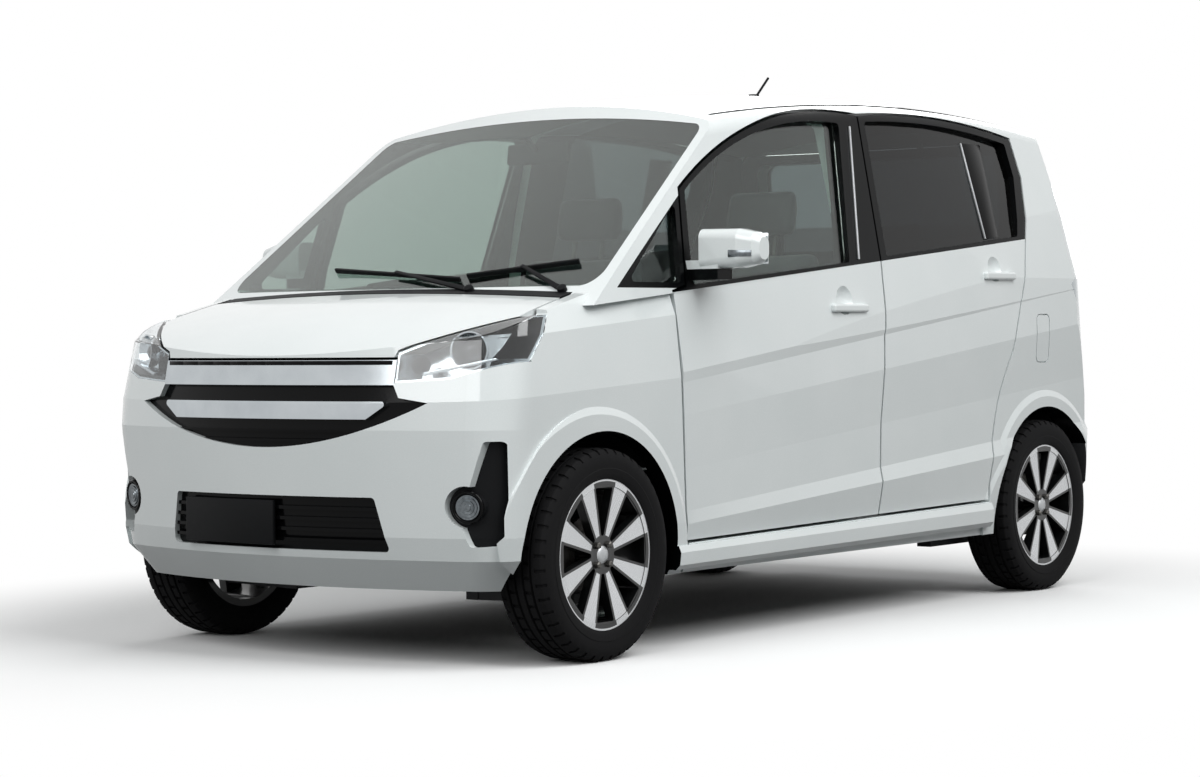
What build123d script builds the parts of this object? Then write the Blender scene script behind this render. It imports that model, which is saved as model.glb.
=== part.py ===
"""White five-door kei car, in millimetres.

+Z is up, the nose points along -Y and the car's left side faces +X. The origin is on the ground, under
the middle of the car. The body is cut out of two hulls: the cabin (a lower body under a greenhouse) and
the nose block ahead of the front doors. Each panel is the hull's wall inside one outline.
"""
import os
from functools import cache
from math import atan, cos, radians, sin

from build123d import *

os.makedirs("parts", exist_ok=True)

# Driving dimensions
LENGTH = 3395
HEIGHT = 1620
WHEELBASE = 2430
FRONT_OVERHANG = 545
TRACK_FRONT = 1300
TRACK_REAR = 1290
TYRE_DIAMETER = 562
TYRE_WIDTH = 165
RIM_DIAMETER = 398
ARCH_RADIUS = 325
SHUT_GAP = 6
DOOR_GAP = 8.5
DOOR_EDGE = 4
DOOR_WALL = 66
PILLAR_WALL = 42
ROOF_WALL = 34
TAIL_WALL = 70
NOSE_WALL = 40
GLASS_THICKNESS = 5
FLARE = 8

# Places that follow from them
NOSE_Y = -LENGTH / 2
TAIL_Y = LENGTH / 2
FRONT_AXLE_Y = NOSE_Y + FRONT_OVERHANG
REAR_AXLE_Y = FRONT_AXLE_Y + WHEELBASE
AXLE_Z = TYRE_DIAMETER / 2
BELT_Z = 1046
BELT_SLOPE = 0.0925
BELT_HALF = 712
FIREWALL_Y = -905
FAR = 3000


def save(builder, name):
    """Label a finished piece and write it as one file."""
    builder.part.label = name
    export_step(builder.part, f"parts/{name}.step")


def belt(y):
    """Height of the belt line at y."""
    return BELT_Z + BELT_SLOPE * y


def roof(y):
    """Height of the roof's centre line at y."""
    return HEIGHT - (y - 700) ** 2 / 14700


def slab_yz(points, x_low, x_high, radius=0):
    """A plate cut to a side-view outline, from x_low to x_high."""
    with BuildPart() as plate:
        with BuildSketch(Plane.YZ.offset(x_low)) as outline:
            with BuildLine():
                Polyline(*points, close=True)
            make_face()
            if radius:
                fillet(outline.vertices(), radius)
        extrude(amount=x_high - x_low)
    return plate.part


def slab_xz(points, y_low, y_high, radius=0):
    """A plate cut to a front-view outline, from y_low to y_high."""
    with BuildPart() as plate:
        with BuildSketch(Plane.XZ.offset(-y_high)) as outline:
            with BuildLine():
                Polyline(*points, close=True)
            make_face()
            if radius:
                fillet(outline.vertices(), radius)
        extrude(amount=y_high - y_low)
    return plate.part


def slab_xy(points, z_low, z_high, radius=0):
    """A plate cut to a plan outline, from z_low to z_high."""
    with BuildPart() as plate:
        with BuildSketch(Plane.XY.offset(z_low)) as outline:
            with BuildLine():
                Polyline(*points, close=True)
            make_face()
            if radius:
                fillet(outline.vertices(), radius)
        extrude(amount=z_high - z_low)
    return plate.part


def block(x_range, y_range, z_range):
    """A plain box between three pairs of limits."""
    with BuildPart() as box:
        with Locations((sum(x_range) / 2, sum(y_range) / 2, sum(z_range) / 2)):
            Box(x_range[1] - x_range[0], y_range[1] - y_range[0], z_range[1] - z_range[0])
    return box.part


def tilted_level(z, slope):
    """A level plane through z at y = 0 that climbs towards the tail."""
    tilt = atan(slope)
    return Plane(origin=(0, 0, z), x_dir=(1, 0, 0), z_dir=(0, -sin(tilt), cos(tilt)))


def side_outline(z, slope, half_front, half_mid, half_rear, y_front, y_rear):
    """A plan outline on a tilted level, with square ends and bowed sides."""
    stretch = 1 / cos(atan(slope))
    front = y_front * stretch
    rear = y_rear * stretch
    middle = (front + rear) / 2
    with BuildSketch(tilted_level(z, slope)) as outline:
        with BuildLine():
            Line((-half_front, front), (half_front, front))
            ThreePointArc((half_front, front), (half_mid, middle), (half_rear, rear))
            Line((half_rear, rear), (-half_rear, rear))
            ThreePointArc((-half_rear, rear), (-half_mid, middle), (-half_front, front))
        make_face()
    return outline.sketch


def tail_plan(z, half, y_front, y_rear, bow, radius):
    """A level plan outline with straight sides, a bowed rear end and rounded rear corners."""
    corner = y_rear - bow
    with BuildSketch(Plane.XY.offset(z)) as outline:
        with BuildLine():
            Polyline((-half, corner), (-half, y_front), (half, y_front), (half, corner))
            ThreePointArc((half, corner), (0, y_rear), (-half, corner))
        make_face()
        fillet(outline.vertices().group_by(Axis.Y)[-1], radius)
    return outline.sketch


# Lower body, from the firewall to behind the tail
# Each level is a line along the side: sill, lower ledge, waist, upper crease and belt
# level: z at y 0, slope, half width at the front, in the middle and at the rear
LOWER_LEVELS = (
    (205, 0.000, 690, 694, 690),
    (298, 0.015, 716, 713, 712),
    (392, 0.068, 722, 733, 731),
    (434, 0.076, 722, 722, 721),
    (560, 0.090, 724, 721, 722),
    (720, 0.105, 727, 732, 731),
    (820, 0.117, 728, 729, 728),
    (850, 0.119, 730, 737, 735),
    (BELT_Z, BELT_SLOPE, BELT_HALF - 2, BELT_HALF, BELT_HALF),
)
# Greenhouse cross sections
# station: y, half width of the roof's edge, how far that edge lies under the crown
ROOF_STATIONS = (
    (-1250, 612, 60),
    (-650, 612, 64),
    (0, 612, 70),
    (680, 612, 72),
    (1250, 606, 70),
    (1720, 592, 66),
)
# Tail envelope
# level: z, half width, y at the middle, bow, corner radius
TAIL_LEVELS = (
    (150, 740, 1655, 55, 130),
    (640, 740, 1660, 55, 130),
    (1030, 728, 1640, 60, 130),
    (1240, 690, 1598, 62, 125),
    (1680, 590, 1490, 66, 110),
)
# Windscreen, as the two edges of a bowed sheet
# edge: z, y at the middle, bow at the half width below
SCREEN_LEVELS = ((500, -1857, 82), (1700, -195, 82))
SCREEN_HALF = 760
CANT_RADIUS = 55


def lower_hull(inset):
    """The lower body, up to the belt."""
    sections = []
    for z, slope, *halves in LOWER_LEVELS:
        front = FIREWALL_Y - 40 if inset > 0 else FIREWALL_Y
        sections.append(side_outline(z, slope, *(half - inset for half in halves), front, TAIL_Y + 60))
    with BuildPart() as hull:
        loft(sections=sections, ruled=True)
    return hull.part


@cache
def greenhouse_hull(side_inset, roof_inset):
    """The greenhouse above the belt: leaning sides, rounded cant rails and a crowned roof."""
    sections = []
    for y, half, drop in ROOF_STATIONS:
        low = belt(y)
        top = roof(y) - roof_inset
        edge = top - drop
        base = BELT_HALF - side_inset
        with BuildSketch(Plane.XZ.offset(-y)) as section:
            with BuildLine():
                Line((base, low), (half - side_inset, edge))
                ThreePointArc((half - side_inset, edge), (0, top), (side_inset - half, edge))
                Line((side_inset - half, edge), (-base, low))
                Line((-base, low), (base, low))
            make_face()
            fillet(section.vertices().group_by(Axis.Y)[-1], CANT_RADIUS)
        sections.append(section.sketch)
    with BuildPart() as hull:
        loft(sections=sections)
    return hull.part


@cache
def tail_envelope(inset):
    """Everything inside the tail's rounded outline."""
    sections = []
    for z, half, y_rear, bow, radius in TAIL_LEVELS:
        sections.append(tail_plan(z, half - inset, -FAR, y_rear - inset, bow, radius))
    with BuildPart() as hull:
        loft(sections=sections, ruled=True)
    return hull.part


@cache
def ahead_of_screen(offset):
    """Everything ahead of the windscreen's sheet, pushed in by offset along Y."""
    sections = []
    for z, y_middle, bow in SCREEN_LEVELS:
        middle = y_middle + offset
        with BuildSketch(Plane.XY.offset(z)) as section:
            with BuildLine():
                ThreePointArc((-SCREEN_HALF, middle + bow), (0, middle), (SCREEN_HALF, middle + bow))
                Polyline(
                    (SCREEN_HALF, middle + bow),
                    (SCREEN_HALF, -FAR),
                    (-SCREEN_HALF, -FAR),
                    (-SCREEN_HALF, middle + bow),
                )
            make_face()
        sections.append(section.sketch)
    with BuildPart() as sheet:
        loft(sections=sections, ruled=True)
    return sheet.part


@cache
def lower_body(inset, tail_inset):
    """The lower body trimmed to the tail."""
    with BuildPart() as hull:
        add(lower_hull(inset))
        add(tail_envelope(tail_inset), mode=Mode.INTERSECT)
    return hull.part


def greenhouse(side_inset, roof_inset, tail_inset, screen_offset):
    """The greenhouse trimmed to the tail and the windscreen."""
    with BuildPart() as hull:
        add(greenhouse_hull(side_inset, roof_inset))
        add(tail_envelope(tail_inset), mode=Mode.INTERSECT)
        add(ahead_of_screen(screen_offset), mode=Mode.SUBTRACT)
    return hull.part



# Nose block, from the bumper to the front doors
JOINT_Y = -780
# level: z at the doors, slope, half width at the doors, half width at the nose, y at the nose, bow, corner radius
NOSE_LEVELS = (
    (205, 0.000, 690, 640, -1606, 120, 120),
    (286, 0.000, 718, 690, -1660, 130, 130),
    (345, 0.000, 722, 696, -1676, 135, 140),
    (620, 0.000, 727, 706, NOSE_Y, 145, 150),
    (742, 0.060, 729, 708, -1694, 150, 155),
    (915, 0.085, 719, 694, -1662, 150, 160),
    (985, 0.100, 698, 662, -1590, 130, 150),
    (1110, 0.100, 640, 590, -1470, 120, 140),
)
# Hood crown
# station: y, z at the middle, drop at the half width below
HOOD_STATIONS = (
    (-1780, 700, 60),
    (-1655, 822, 55),
    (-1500, 906, 48),
    (-1300, 964, 40),
    (-1050, 1016, 30),
    (-700, 1068, 20),
)
HOOD_HALF = 760


def nose_outline(z, slope, half_rear, half_front, y_front, bow, radius, inset):
    """A plan outline of the nose block on a tilted level, open towards the doors."""
    stretch = 1 / cos(atan(slope))
    front = (y_front + inset) * stretch
    rear = JOINT_Y * stretch
    corner = front + bow
    wide = half_rear - inset
    narrow = half_front - inset
    with BuildSketch(tilted_level(z - slope * JOINT_Y, slope)) as outline:
        with BuildLine():
            ThreePointArc((-narrow, corner), (0, front), (narrow, corner))
            Polyline((narrow, corner), (wide, rear), (-wide, rear), (-narrow, corner))
        make_face()
        fillet(outline.vertices().group_by(Axis.Y)[0], radius - inset / 2)
    return outline.sketch


@cache
def nose_hull(inset, top_inset):
    """The nose block under the hood's crown."""
    sections = []
    for z, slope, half_rear, half_front, y_front, bow, radius in NOSE_LEVELS:
        sections.append(nose_outline(z, slope, half_rear, half_front, y_front, bow, radius, inset))
    crowns = []
    for y, z, drop in HOOD_STATIONS:
        top = z - top_inset
        with BuildSketch(Plane.XZ.offset(-y)) as crown:
            with BuildLine():
                ThreePointArc((-HOOD_HALF, top - drop), (0, top), (HOOD_HALF, top - drop))
                Polyline((HOOD_HALF, top - drop), (HOOD_HALF, 0), (-HOOD_HALF, 0), (-HOOD_HALF, top - drop))
            make_face()
        crowns.append(crown.sketch)
    with BuildPart() as cover:
        loft(sections=crowns)
    with BuildPart() as hull:
        loft(sections=sections, ruled=True)
        add(cover.part, mode=Mode.INTERSECT)
    return hull.part


SCREEN_WALL = 52
lower_outer = lower_body(0, 0)
lower_inner = lower_body(DOOR_WALL, TAIL_WALL)
house_outer = greenhouse(0, 0, 0, 0)
house_inner = greenhouse(PILLAR_WALL, ROOF_WALL, TAIL_WALL, SCREEN_WALL)
nose_outer = nose_hull(0, 0)
nose_inner = nose_hull(NOSE_WALL, 32)


def wheel_cylinder(y, radius, x_low, x_high):
    """A cylinder on a wheel's axis, on the left side."""
    with BuildPart() as cylinder:
        with BuildSketch(Plane.YZ.offset(x_low)):
            with Locations((y, AXLE_Z)):
                Circle(radius)
        extrude(amount=x_high - x_low)
    return cylinder.part


def cut_to(base, keep, without=()):
    """The stretch of a wall inside keep, less each of the other solids."""
    with BuildPart() as panel:
        add(base)
        add(keep, mode=Mode.INTERSECT)
        for tool in without:
            add(tool, mode=Mode.SUBTRACT)
    return panel.part


def both_sides(piece):
    """A left-hand piece and its mirror image."""
    with BuildPart() as pair:
        add(piece)
        mirror(piece, about=Plane.YZ)
    return pair.part


# Arch flares and side skirts, which stand a little off the hulls
# flare profile: x, radius from the wheel's axis
FLARE_PROFILE = ((670, ARCH_RADIUS), (737, ARCH_RADIUS), (737, 332), (732, 352), (716, 394), (670, 394))
# skirt section: x, z above the skirt's lower edge, share of the skirt's height
SKIRT_SECTION = ((670, 0.0), (722, 0.0), (734, 0.2), (736, 0.72), (728, 1.0), (670, 1.0))
# skirt end: y, z of the lower edge, height
SKIRT_ENDS = ((-870, 217, 65), (905, 232, 77))


def flare_ring(y):
    """A flared ring round a left wheel's arch."""
    with BuildPart() as ring:
        with BuildSketch(Plane.XY):
            with BuildLine():
                Polyline(*((x, y + radius) for x, radius in FLARE_PROFILE), close=True)
            make_face()
        revolve(axis=Axis((0, y, 0), (1, 0, 0)), revolution_arc=360)
    return ring.part.moved(Location((0, 0, AXLE_Z)))


def skirt():
    """The left side skirt, from arch to arch."""
    sections = []
    for y, z_low, height in SKIRT_ENDS:
        with BuildSketch(Plane.XZ.offset(-y)) as section:
            with BuildLine():
                Polyline(*((x, z_low + share * height) for x, share in SKIRT_SECTION), close=True)
            make_face()
        sections.append(section.sketch)
    with BuildPart() as strip:
        loft(sections=sections, ruled=True)
    return strip.part


front_flare = cut_to(flare_ring(FRONT_AXLE_Y), nose_hull(-FLARE, 0))
rear_flare = cut_to(flare_ring(REAR_AXLE_Y), lower_body(-FLARE, -FLARE))
ahead_of_doors = block((-FAR, FAR), (-FAR, JOINT_Y), (-FAR, FAR))
left_skirt = skirt()
with BuildPart() as cabin_shell:
    add(lower_outer)
    add(house_outer)
    add(both_sides(rear_flare))
    add(both_sides(cut_to(left_skirt, left_skirt, (ahead_of_doors,))))
    add(lower_inner, mode=Mode.SUBTRACT)
    add(house_inner, mode=Mode.SUBTRACT)
with BuildPart() as nose_shell:
    add(nose_outer)
    add(both_sides(front_flare))
    add(both_sides(cut_to(left_skirt, ahead_of_doors)))
    add(house_outer, mode=Mode.SUBTRACT)
    add(nose_inner, mode=Mode.SUBTRACT)


def save_pair(piece, name):
    """Write a left-hand piece and its mirror image as two nodes."""
    with BuildPart() as left:
        add(piece)
    save(left, f"{name}_left")
    with BuildPart() as right:
        mirror(piece, about=Plane.YZ)
    save(right, f"{name}_right")


def save_solid(piece, name):
    """Write one finished piece as a node."""
    with BuildPart() as node:
        add(piece)
    save(node, name)


LEFT = block((0, FAR), (-FAR, FAR), (-FAR, FAR))

# Side openings, as outlines in the side view (y, z)
FRONT_DOOR_TOP = ((-702, 1262), (-330, 1446), (286, 1519))
REAR_DOOR_TOP = ((286, 1519), (760, 1533), (1236, 1490))
SILL_Z = 302


def front_door_outline(grow):
    """The line of the front door's shut gap, moved out or in all round."""
    start, crown, end = FRONT_DOOR_TOP
    with BuildSketch(Plane.YZ) as outline:
        with BuildLine():
            ThreePointArc(start, crown, end)
            Polyline(end, (263, 1070), (232, 413), (232, SILL_Z + 4), (-778, SILL_Z - 11), (-819, 975),
                     (-756, 990), start)
        make_face()
        offset(amount=grow, kind=Kind.INTERSECTION, mode=Mode.REPLACE)
    return outline.sketch


def rear_door_outline(grow):
    """The line of the rear door's shut gap; its rear edge runs down ahead of the wheel arch."""
    start, crown, end = REAR_DOOR_TOP
    with BuildSketch(Plane.YZ) as outline:
        with BuildLine():
            ThreePointArc(start, crown, end)
            Polyline(end, (1246, 1360), (1206, 1221), (1046, 790))
            ThreePointArc((1046, 790), (948, 600), (905, 420))
            Polyline((905, 420), (900, SILL_Z + 13), (232, SILL_Z + 4), (232, 413), (263, 1070), start)
        make_face()
        offset(amount=grow, kind=Kind.INTERSECTION, mode=Mode.REPLACE)
    return outline.sketch


ROOF_HALF = 545


def through(outline, x_low=ROOF_HALF):
    """A side-view outline pushed through the left side's wall, from x_low out."""
    with BuildPart() as plug:
        extrude(outline, amount=900)
        add(block((0, x_low), (-FAR, FAR), (-FAR, FAR)), mode=Mode.SUBTRACT)
    return plug.part


GLASS_DEPTH = 16


def glass_layer():
    """The thin layer of the greenhouse that the side glass fills."""
    with BuildPart() as layer:
        add(greenhouse_hull(GLASS_DEPTH, GLASS_DEPTH))
        add(greenhouse_hull(GLASS_DEPTH + GLASS_THICKNESS, GLASS_DEPTH + GLASS_THICKNESS), mode=Mode.SUBTRACT)
    return layer.part


def side_window(points, crown):
    """A window's outline: straight edges, closed by an arc along the top."""
    with BuildSketch(Plane.YZ) as outline:
        with BuildLine():
            Polyline(*points)
            ThreePointArc(points[-1], crown, points[0])
        make_face()
        fillet(outline.vertices(), 12)
    return outline.sketch


front_window = through(side_window(
    ((-676, 1257), (-722, belt(-722) + 14), (88, belt(88) + 12), (172, 1487)), (-290, 1434)))
rear_window = through(side_window(
    ((320, 1500), (300, belt(300) + 12), (1130, belt(1130) + 14), (1196, 1362), (1190, 1472)), (760, 1509)))
quarter_window = slab_yz(((-1010, 1000), (-776, 1000), (-732, 1226)), 500, 900, 10)

front_hole = through(front_door_outline(DOOR_GAP - DOOR_EDGE))
rear_hole = through(rear_door_outline(DOOR_GAP - DOOR_EDGE))
front_plug = through(front_door_outline(-DOOR_EDGE), ROOF_HALF + 15)
rear_plug = through(rear_door_outline(-DOOR_EDGE), ROOF_HALF + 15)
side_panes = glass_layer()

# The pillar between the doors stands inside them
with BuildPart() as pillar_zone:
    add(block((0, 800), (165, 365), (250, 1600)))
with BuildPart() as pillar_room:
    add(lower_body(DOOR_WALL - 8, TAIL_WALL))
    add(greenhouse(PILLAR_WALL - 8, ROOF_WALL, TAIL_WALL, SCREEN_WALL))
    add(block((0, 800), (150, 380), (200, 1600)), mode=Mode.INTERSECT)

# Each door hangs on a leaf of its post, which reaches into a pocket in the door's leading edge
LEAF_TOP = 706
LEAF_LOW = 700
front_leaf = block((664, 676), (-850, -800), (LEAF_LOW, LEAF_TOP))
front_pocket = block((650, 700), (-830, -794), (LEAF_LOW - 10, LEAF_TOP))
rear_leaf = block((655, 690), (246, 276), (LEAF_LOW, LEAF_TOP))
rear_pocket = block((640, 700), (225, 283), (LEAF_LOW - 10, LEAF_TOP))
front_door = cut_to(cabin_shell.part, front_plug, (front_window, pillar_room.part, front_pocket))
rear_door = cut_to(cabin_shell.part, rear_plug, (rear_window, pillar_room.part, rear_pocket))

# Door handles: a dish in the door's skin under a pull bar
DISH_RADIUS = 60
DISH_OFF = 40
HANDLE_LENGTH = 190
HANDLE_HEIGHT = 24
HANDLE_PROUD = 16


def with_handle(door, dish_y, dish_z, skin_x):
    """A door with its handle; the bar sits below the dish, towards the tail."""
    with BuildPart() as fitted:
        add(door)
        with Locations((skin_x + DISH_OFF, dish_y, dish_z)):
            Sphere(DISH_RADIUS, mode=Mode.SUBTRACT)
        with BuildPart(mode=Mode.PRIVATE) as bar:
            with Locations((skin_x, dish_y + 20, dish_z - 28)):
                Box(2 * HANDLE_PROUD, HANDLE_LENGTH, HANDLE_HEIGHT)
            fillet(bar.edges(), 7)
        add(bar.part)
    return fitted.part


front_door = with_handle(front_door, 34, 958, 725)
rear_door = with_handle(rear_door, 940, 1062, 726)
save_pair(front_door, "front_door")
save_pair(rear_door, "rear_door")
save_pair(cut_to(side_panes, front_window), "front_door_glass")
save_pair(cut_to(side_panes, rear_window), "rear_door_glass")
save_solid(both_sides(cut_to(side_panes, quarter_window)), "quarter_glass")

# Tailgate and its glass, as outlines in the rear view (x, z)
TAILGATE = ((-575, 668), (575, 668), (612, 1010), (590, 1180), (548, 1500), (-548, 1500), (-590, 1180), (-612, 1010))
TAILGATE_GLASS = ((-545, 1150), (545, 1150), (508, 1462), (-508, 1462))
TAIL_FROM = 1380
tail_hole = slab_xz(TAILGATE, TAIL_FROM, 1800, 40)
with BuildPart() as tail_plug_builder:
    with BuildSketch(Plane.XZ.offset(-1800)) as tail_outline:
        with BuildLine():
            Polyline(*TAILGATE, close=True)
        make_face()
        fillet(tail_outline.vertices(), 40)
        offset(amount=-SHUT_GAP, kind=Kind.INTERSECTION, mode=Mode.REPLACE)
    extrude(amount=1800 - TAIL_FROM)
tail_plug = tail_plug_builder.part
tail_window = slab_xz(TAILGATE_GLASS, TAIL_FROM, 1800, 40)
HINGE_X = 150
HINGE_LEAF = 8
tail_room = tail_envelope(TAIL_WALL)
PLATE_RECESS = slab_xz(((-190, 770), (190, 770), (205, 960), (-205, 960)), 1632, 1800, 14)
with BuildPart() as tailgate:
    add(cut_to(cabin_shell.part, tail_plug, (tail_window, tail_room, PLATE_RECESS)))
    for side in (1, -1):
        add(block((side * HINGE_X - HINGE_LEAF * (side > 0), side * HINGE_X + HINGE_LEAF * (side < 0)),
                  (1428, 1480), (1462, 1488)))
save(tailgate, "tailgate")
tail_hole = cut_to(tail_hole, tail_hole, (tail_envelope(TAIL_WALL + SHUT_GAP),))
with BuildPart() as tail_pane:
    add(tail_envelope(GLASS_DEPTH))
    add(tail_envelope(GLASS_DEPTH + GLASS_THICKNESS), mode=Mode.SUBTRACT)
    add(tail_window, mode=Mode.INTERSECT)
save(tail_pane, "tailgate_glass")

# Rear bumper
# level: z, half width, y at the middle, bow, corner radius
BUMPER_LEVELS = (
    (286, 690, 1668, 62, 140),
    (345, 724, 1690, 62, 150),
    (560, 729, TAIL_Y, 62, 150),
    (632, 726, 1692, 62, 150),
    (660, 716, 1668, 60, 140),
)
BUMPER_WALL = 46
rear_well = wheel_cylinder(REAR_AXLE_Y, ARCH_RADIUS, 520, 800)


@cache
def bumper_hull(inset):
    """The rear bumper's outer form."""
    sections = []
    for z, half, y_rear, bow, radius in BUMPER_LEVELS:
        sections.append(tail_plan(z, half - inset, 1200, y_rear - inset, bow, radius))
    with BuildPart() as hull:
        loft(sections=sections, ruled=True)
    return hull.part


BUMPER_SPLIT = ((1380, 150), (1380, 290), (1560, 500), (1600, 672), (1800, 672), (1800, 150))
bumper_zone = slab_yz(BUMPER_SPLIT, -800, 800)
with BuildPart() as rear_bumper:
    add(bumper_hull(0))
    add(both_sides(cut_to(flare_ring(REAR_AXLE_Y), bumper_hull(-FLARE))))
    add(bumper_hull(BUMPER_WALL), mode=Mode.SUBTRACT)
    add(bumper_zone, mode=Mode.INTERSECT)
    add(both_sides(rear_well), mode=Mode.SUBTRACT)
save(rear_bumper, "rear_bumper")

# Tail lamps
LAMP_WRAP = ((1800, 922), (1516, 922), (1455, 1012), (1540, 1070), (1800, 1070))
TAIL_LAMP_X = 626
lamp_plug = slab_yz(LAMP_WRAP, TAIL_LAMP_X, 800)
tail_lamp = cut_to(cabin_shell.part, lamp_plug)
save_solid(both_sides(tail_lamp), "tail_lamps")

# Windscreen, cowl and roof
with BuildPart() as screen_plug:
    with BuildSketch(Plane.XZ.offset(300)) as screen_outline:
        with BuildLine():
            Polyline((-586, 1452), (-668, 990), (668, 990), (586, 1452))
            ThreePointArc((586, 1452), (0, 1494), (-586, 1452))
        make_face()
        fillet(screen_outline.vertices(), 40)
    extrude(amount=1100)
SCREEN_GLASS = 9
with BuildPart() as windscreen:
    add(screen_plug.part)
    add(house_outer, mode=Mode.INTERSECT)
    add(ahead_of_screen(SCREEN_GLASS), mode=Mode.INTERSECT)
save(windscreen, "windscreen")

HOOD_REAR = -46
HOOD_SIDE = 618
with BuildPart() as cowl:
    add(nose_outer)
    add(block((-HOOD_SIDE, HOOD_SIDE), (-1300, FIREWALL_Y), (925, 1100)), mode=Mode.INTERSECT)
    add(ahead_of_screen(HOOD_REAR + 10), mode=Mode.SUBTRACT)
    add(house_outer, mode=Mode.SUBTRACT)
HOOD_HINGE_X = 560
with BuildPart() as cowl_panel:
    add(cowl.part)
    for side in (1, -1):
        add(block((side * HOOD_HINGE_X - HINGE_LEAF * (side < 0), side * HOOD_HINGE_X + HINGE_LEAF * (side > 0)),
                  (-1290, -1214), (880, 908)))
        add(block((side * HOOD_HINGE_X - HINGE_LEAF * (side < 0), side * HOOD_HINGE_X + HINGE_LEAF * (side > 0)),
                  (-1232, -1214), (900, 945)))
save(cowl_panel, "cowl_panel")

roof_zone = slab_xy(((-ROOF_HALF, -1000), (ROOF_HALF, -1000), (ROOF_HALF, 1800), (-ROOF_HALF, 1800)), 1440, 1700)
SPOILER_HALF = 470
SPOILER_END = 1576
SPOILER_THICK = 12
spoiler = cut_to(greenhouse_hull(0, 0), block((-SPOILER_HALF, SPOILER_HALF), (1470, SPOILER_END), (1450, 1700)),
                 (greenhouse_hull(SPOILER_THICK, SPOILER_THICK),))
with BuildPart() as roof_panel:
    add(cut_to(cabin_shell.part, roof_zone, (screen_plug.part, tail_hole)))
    for side in (1, -1):
        add(block((side * HINGE_X - HINGE_LEAF * (side < 0), side * HINGE_X + HINGE_LEAF * (side > 0)),
                  (1428, 1456), (1462, 1560)))
    add(spoiler)
save(roof_panel, "roof_panel")

# Hood, headlamps, fenders, bumper and grille
# Front-view lines (x, z)
LAMP_TOP = ((412, 818), (640, 903), (745, 930))
LAMP_LOW = ((412, 741), (560, 750), (700, 792), (745, 800))
LAMP_SIDE = ((-1800, 690), (-1470, 690), (-1435, 797), (-1330, 916), (-1330, 1000), (-1800, 1000))
FENDER_FRONT = ((-1386, 745), (-1435, 797), (-1330, 916), (-1330, 1200), (-700, 1200), (-700, 150), (-1152, 150),
                (-1152, 400), (-1333, 680))
LENS = 5
HOUSING_WALL = 5
HOUSING_DEPTH = 95
SEAT_GAP = 0.3
lamp_zone = slab_xz(LAMP_TOP + tuple(reversed(LAMP_LOW)), -1800, -1200)
lamp_room = cut_to(lamp_zone, slab_yz(LAMP_SIDE, 0, 800))
lens = cut_to(nose_outer, lamp_room, (house_outer, nose_hull(LENS, LENS)))
save_solid(both_sides(lens), "headlamps")
bucket_front = (
    slab_xz(((412 + HOUSING_WALL, 741 + HOUSING_WALL), (560, 750 + HOUSING_WALL), (700, 792 + HOUSING_WALL), (745, 806),
             (745, 922), (640, 903 - HOUSING_WALL), (412 + HOUSING_WALL, 818 - HOUSING_WALL)), -1800, -1200))
bucket_side = slab_yz(((-1800, 690), (-1480, 690), (-1442, 800), (-1342, 914), (-1342, 1000), (-1800, 1000)), 0, 800)
bucket = cut_to(cut_to(nose_outer, bucket_front, (nose_hull(HOUSING_DEPTH - HOUSING_WALL, NOSE_WALL),)), bucket_side)
housing = cut_to(nose_hull(LENS + SEAT_GAP, LENS + SEAT_GAP), lamp_room,
                 (house_outer, bucket, nose_hull(HOUSING_DEPTH, NOSE_WALL + HOUSING_WALL)))
save_solid(both_sides(housing), "headlamp_housings")

HOOD_GAP = 7
hood_front = ((-FAR, 3000), (-640, 903 + HOOD_GAP), (-412, 818 + HOOD_GAP), (-404, 800 + HOOD_GAP),
              (404, 800 + HOOD_GAP), (412, 818 + HOOD_GAP), (640, 903 + HOOD_GAP), (FAR, 3000))
hood_sides = ((-HOOD_SIDE - 22, -1500), (-HOOD_SIDE, -1000), (HOOD_SIDE, -1000), (HOOD_SIDE + 22, -1500),
              (HOOD_SIDE + 22, -1800), (-HOOD_SIDE - 22, -1800))
hood_zone = cut_to(slab_xz(hood_front, -1800, -900), slab_xy(hood_sides, 700, 1200))
hood_zone = cut_to(hood_zone, ahead_of_screen(HOOD_REAR))
with BuildPart() as hood:
    add(cut_to(nose_shell.part, hood_zone))
    for side in (1, -1):
        add(block((side * HOOD_HINGE_X - HINGE_LEAF * (side > 0), side * HOOD_HINGE_X + HINGE_LEAF * (side < 0)),
                  (-1290, -1266), (885, 930)))
save(hood, "hood")

fender_zone = slab_yz(FENDER_FRONT, 300, 800)
fender_top = slab_xy(((HOOD_SIDE + 22 + HOOD_GAP, -1500), (HOOD_SIDE + HOOD_GAP, -1000), (HOOD_SIDE + HOOD_GAP, -500),
                      (900, -500), (900, -1800), (HOOD_SIDE + 22 + HOOD_GAP, -1800)), 150, 1200)
front_well = wheel_cylinder(FRONT_AXLE_Y, ARCH_RADIUS, 400, 800)
fender = cut_to(nose_shell.part, fender_zone, (front_well, slab_yz(LAMP_SIDE, 0, 800), front_hole))
fender = cut_to(fender, fender_top)
save_pair(fender, "front_fender")

# Front openings, as outlines in the front view (x, z)
GRILLE_SIDE = ((412, 800), (412, 735), (430, 703), (511, 690))
GRILLE_LOW_Z = 573
LOWER_GRILLE = ((-353, 447), (353, 447), (388, 306), (-388, 306))
FOG_BLADE = ((650, 592), (690, 592), (684, 350), (664, 326), (606, 322), (590, 370), (612, 470))
FOG_AT = (602, 425)
FOG_RADIUS = 54
FOG_LAMP_RADIUS = 38


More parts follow.
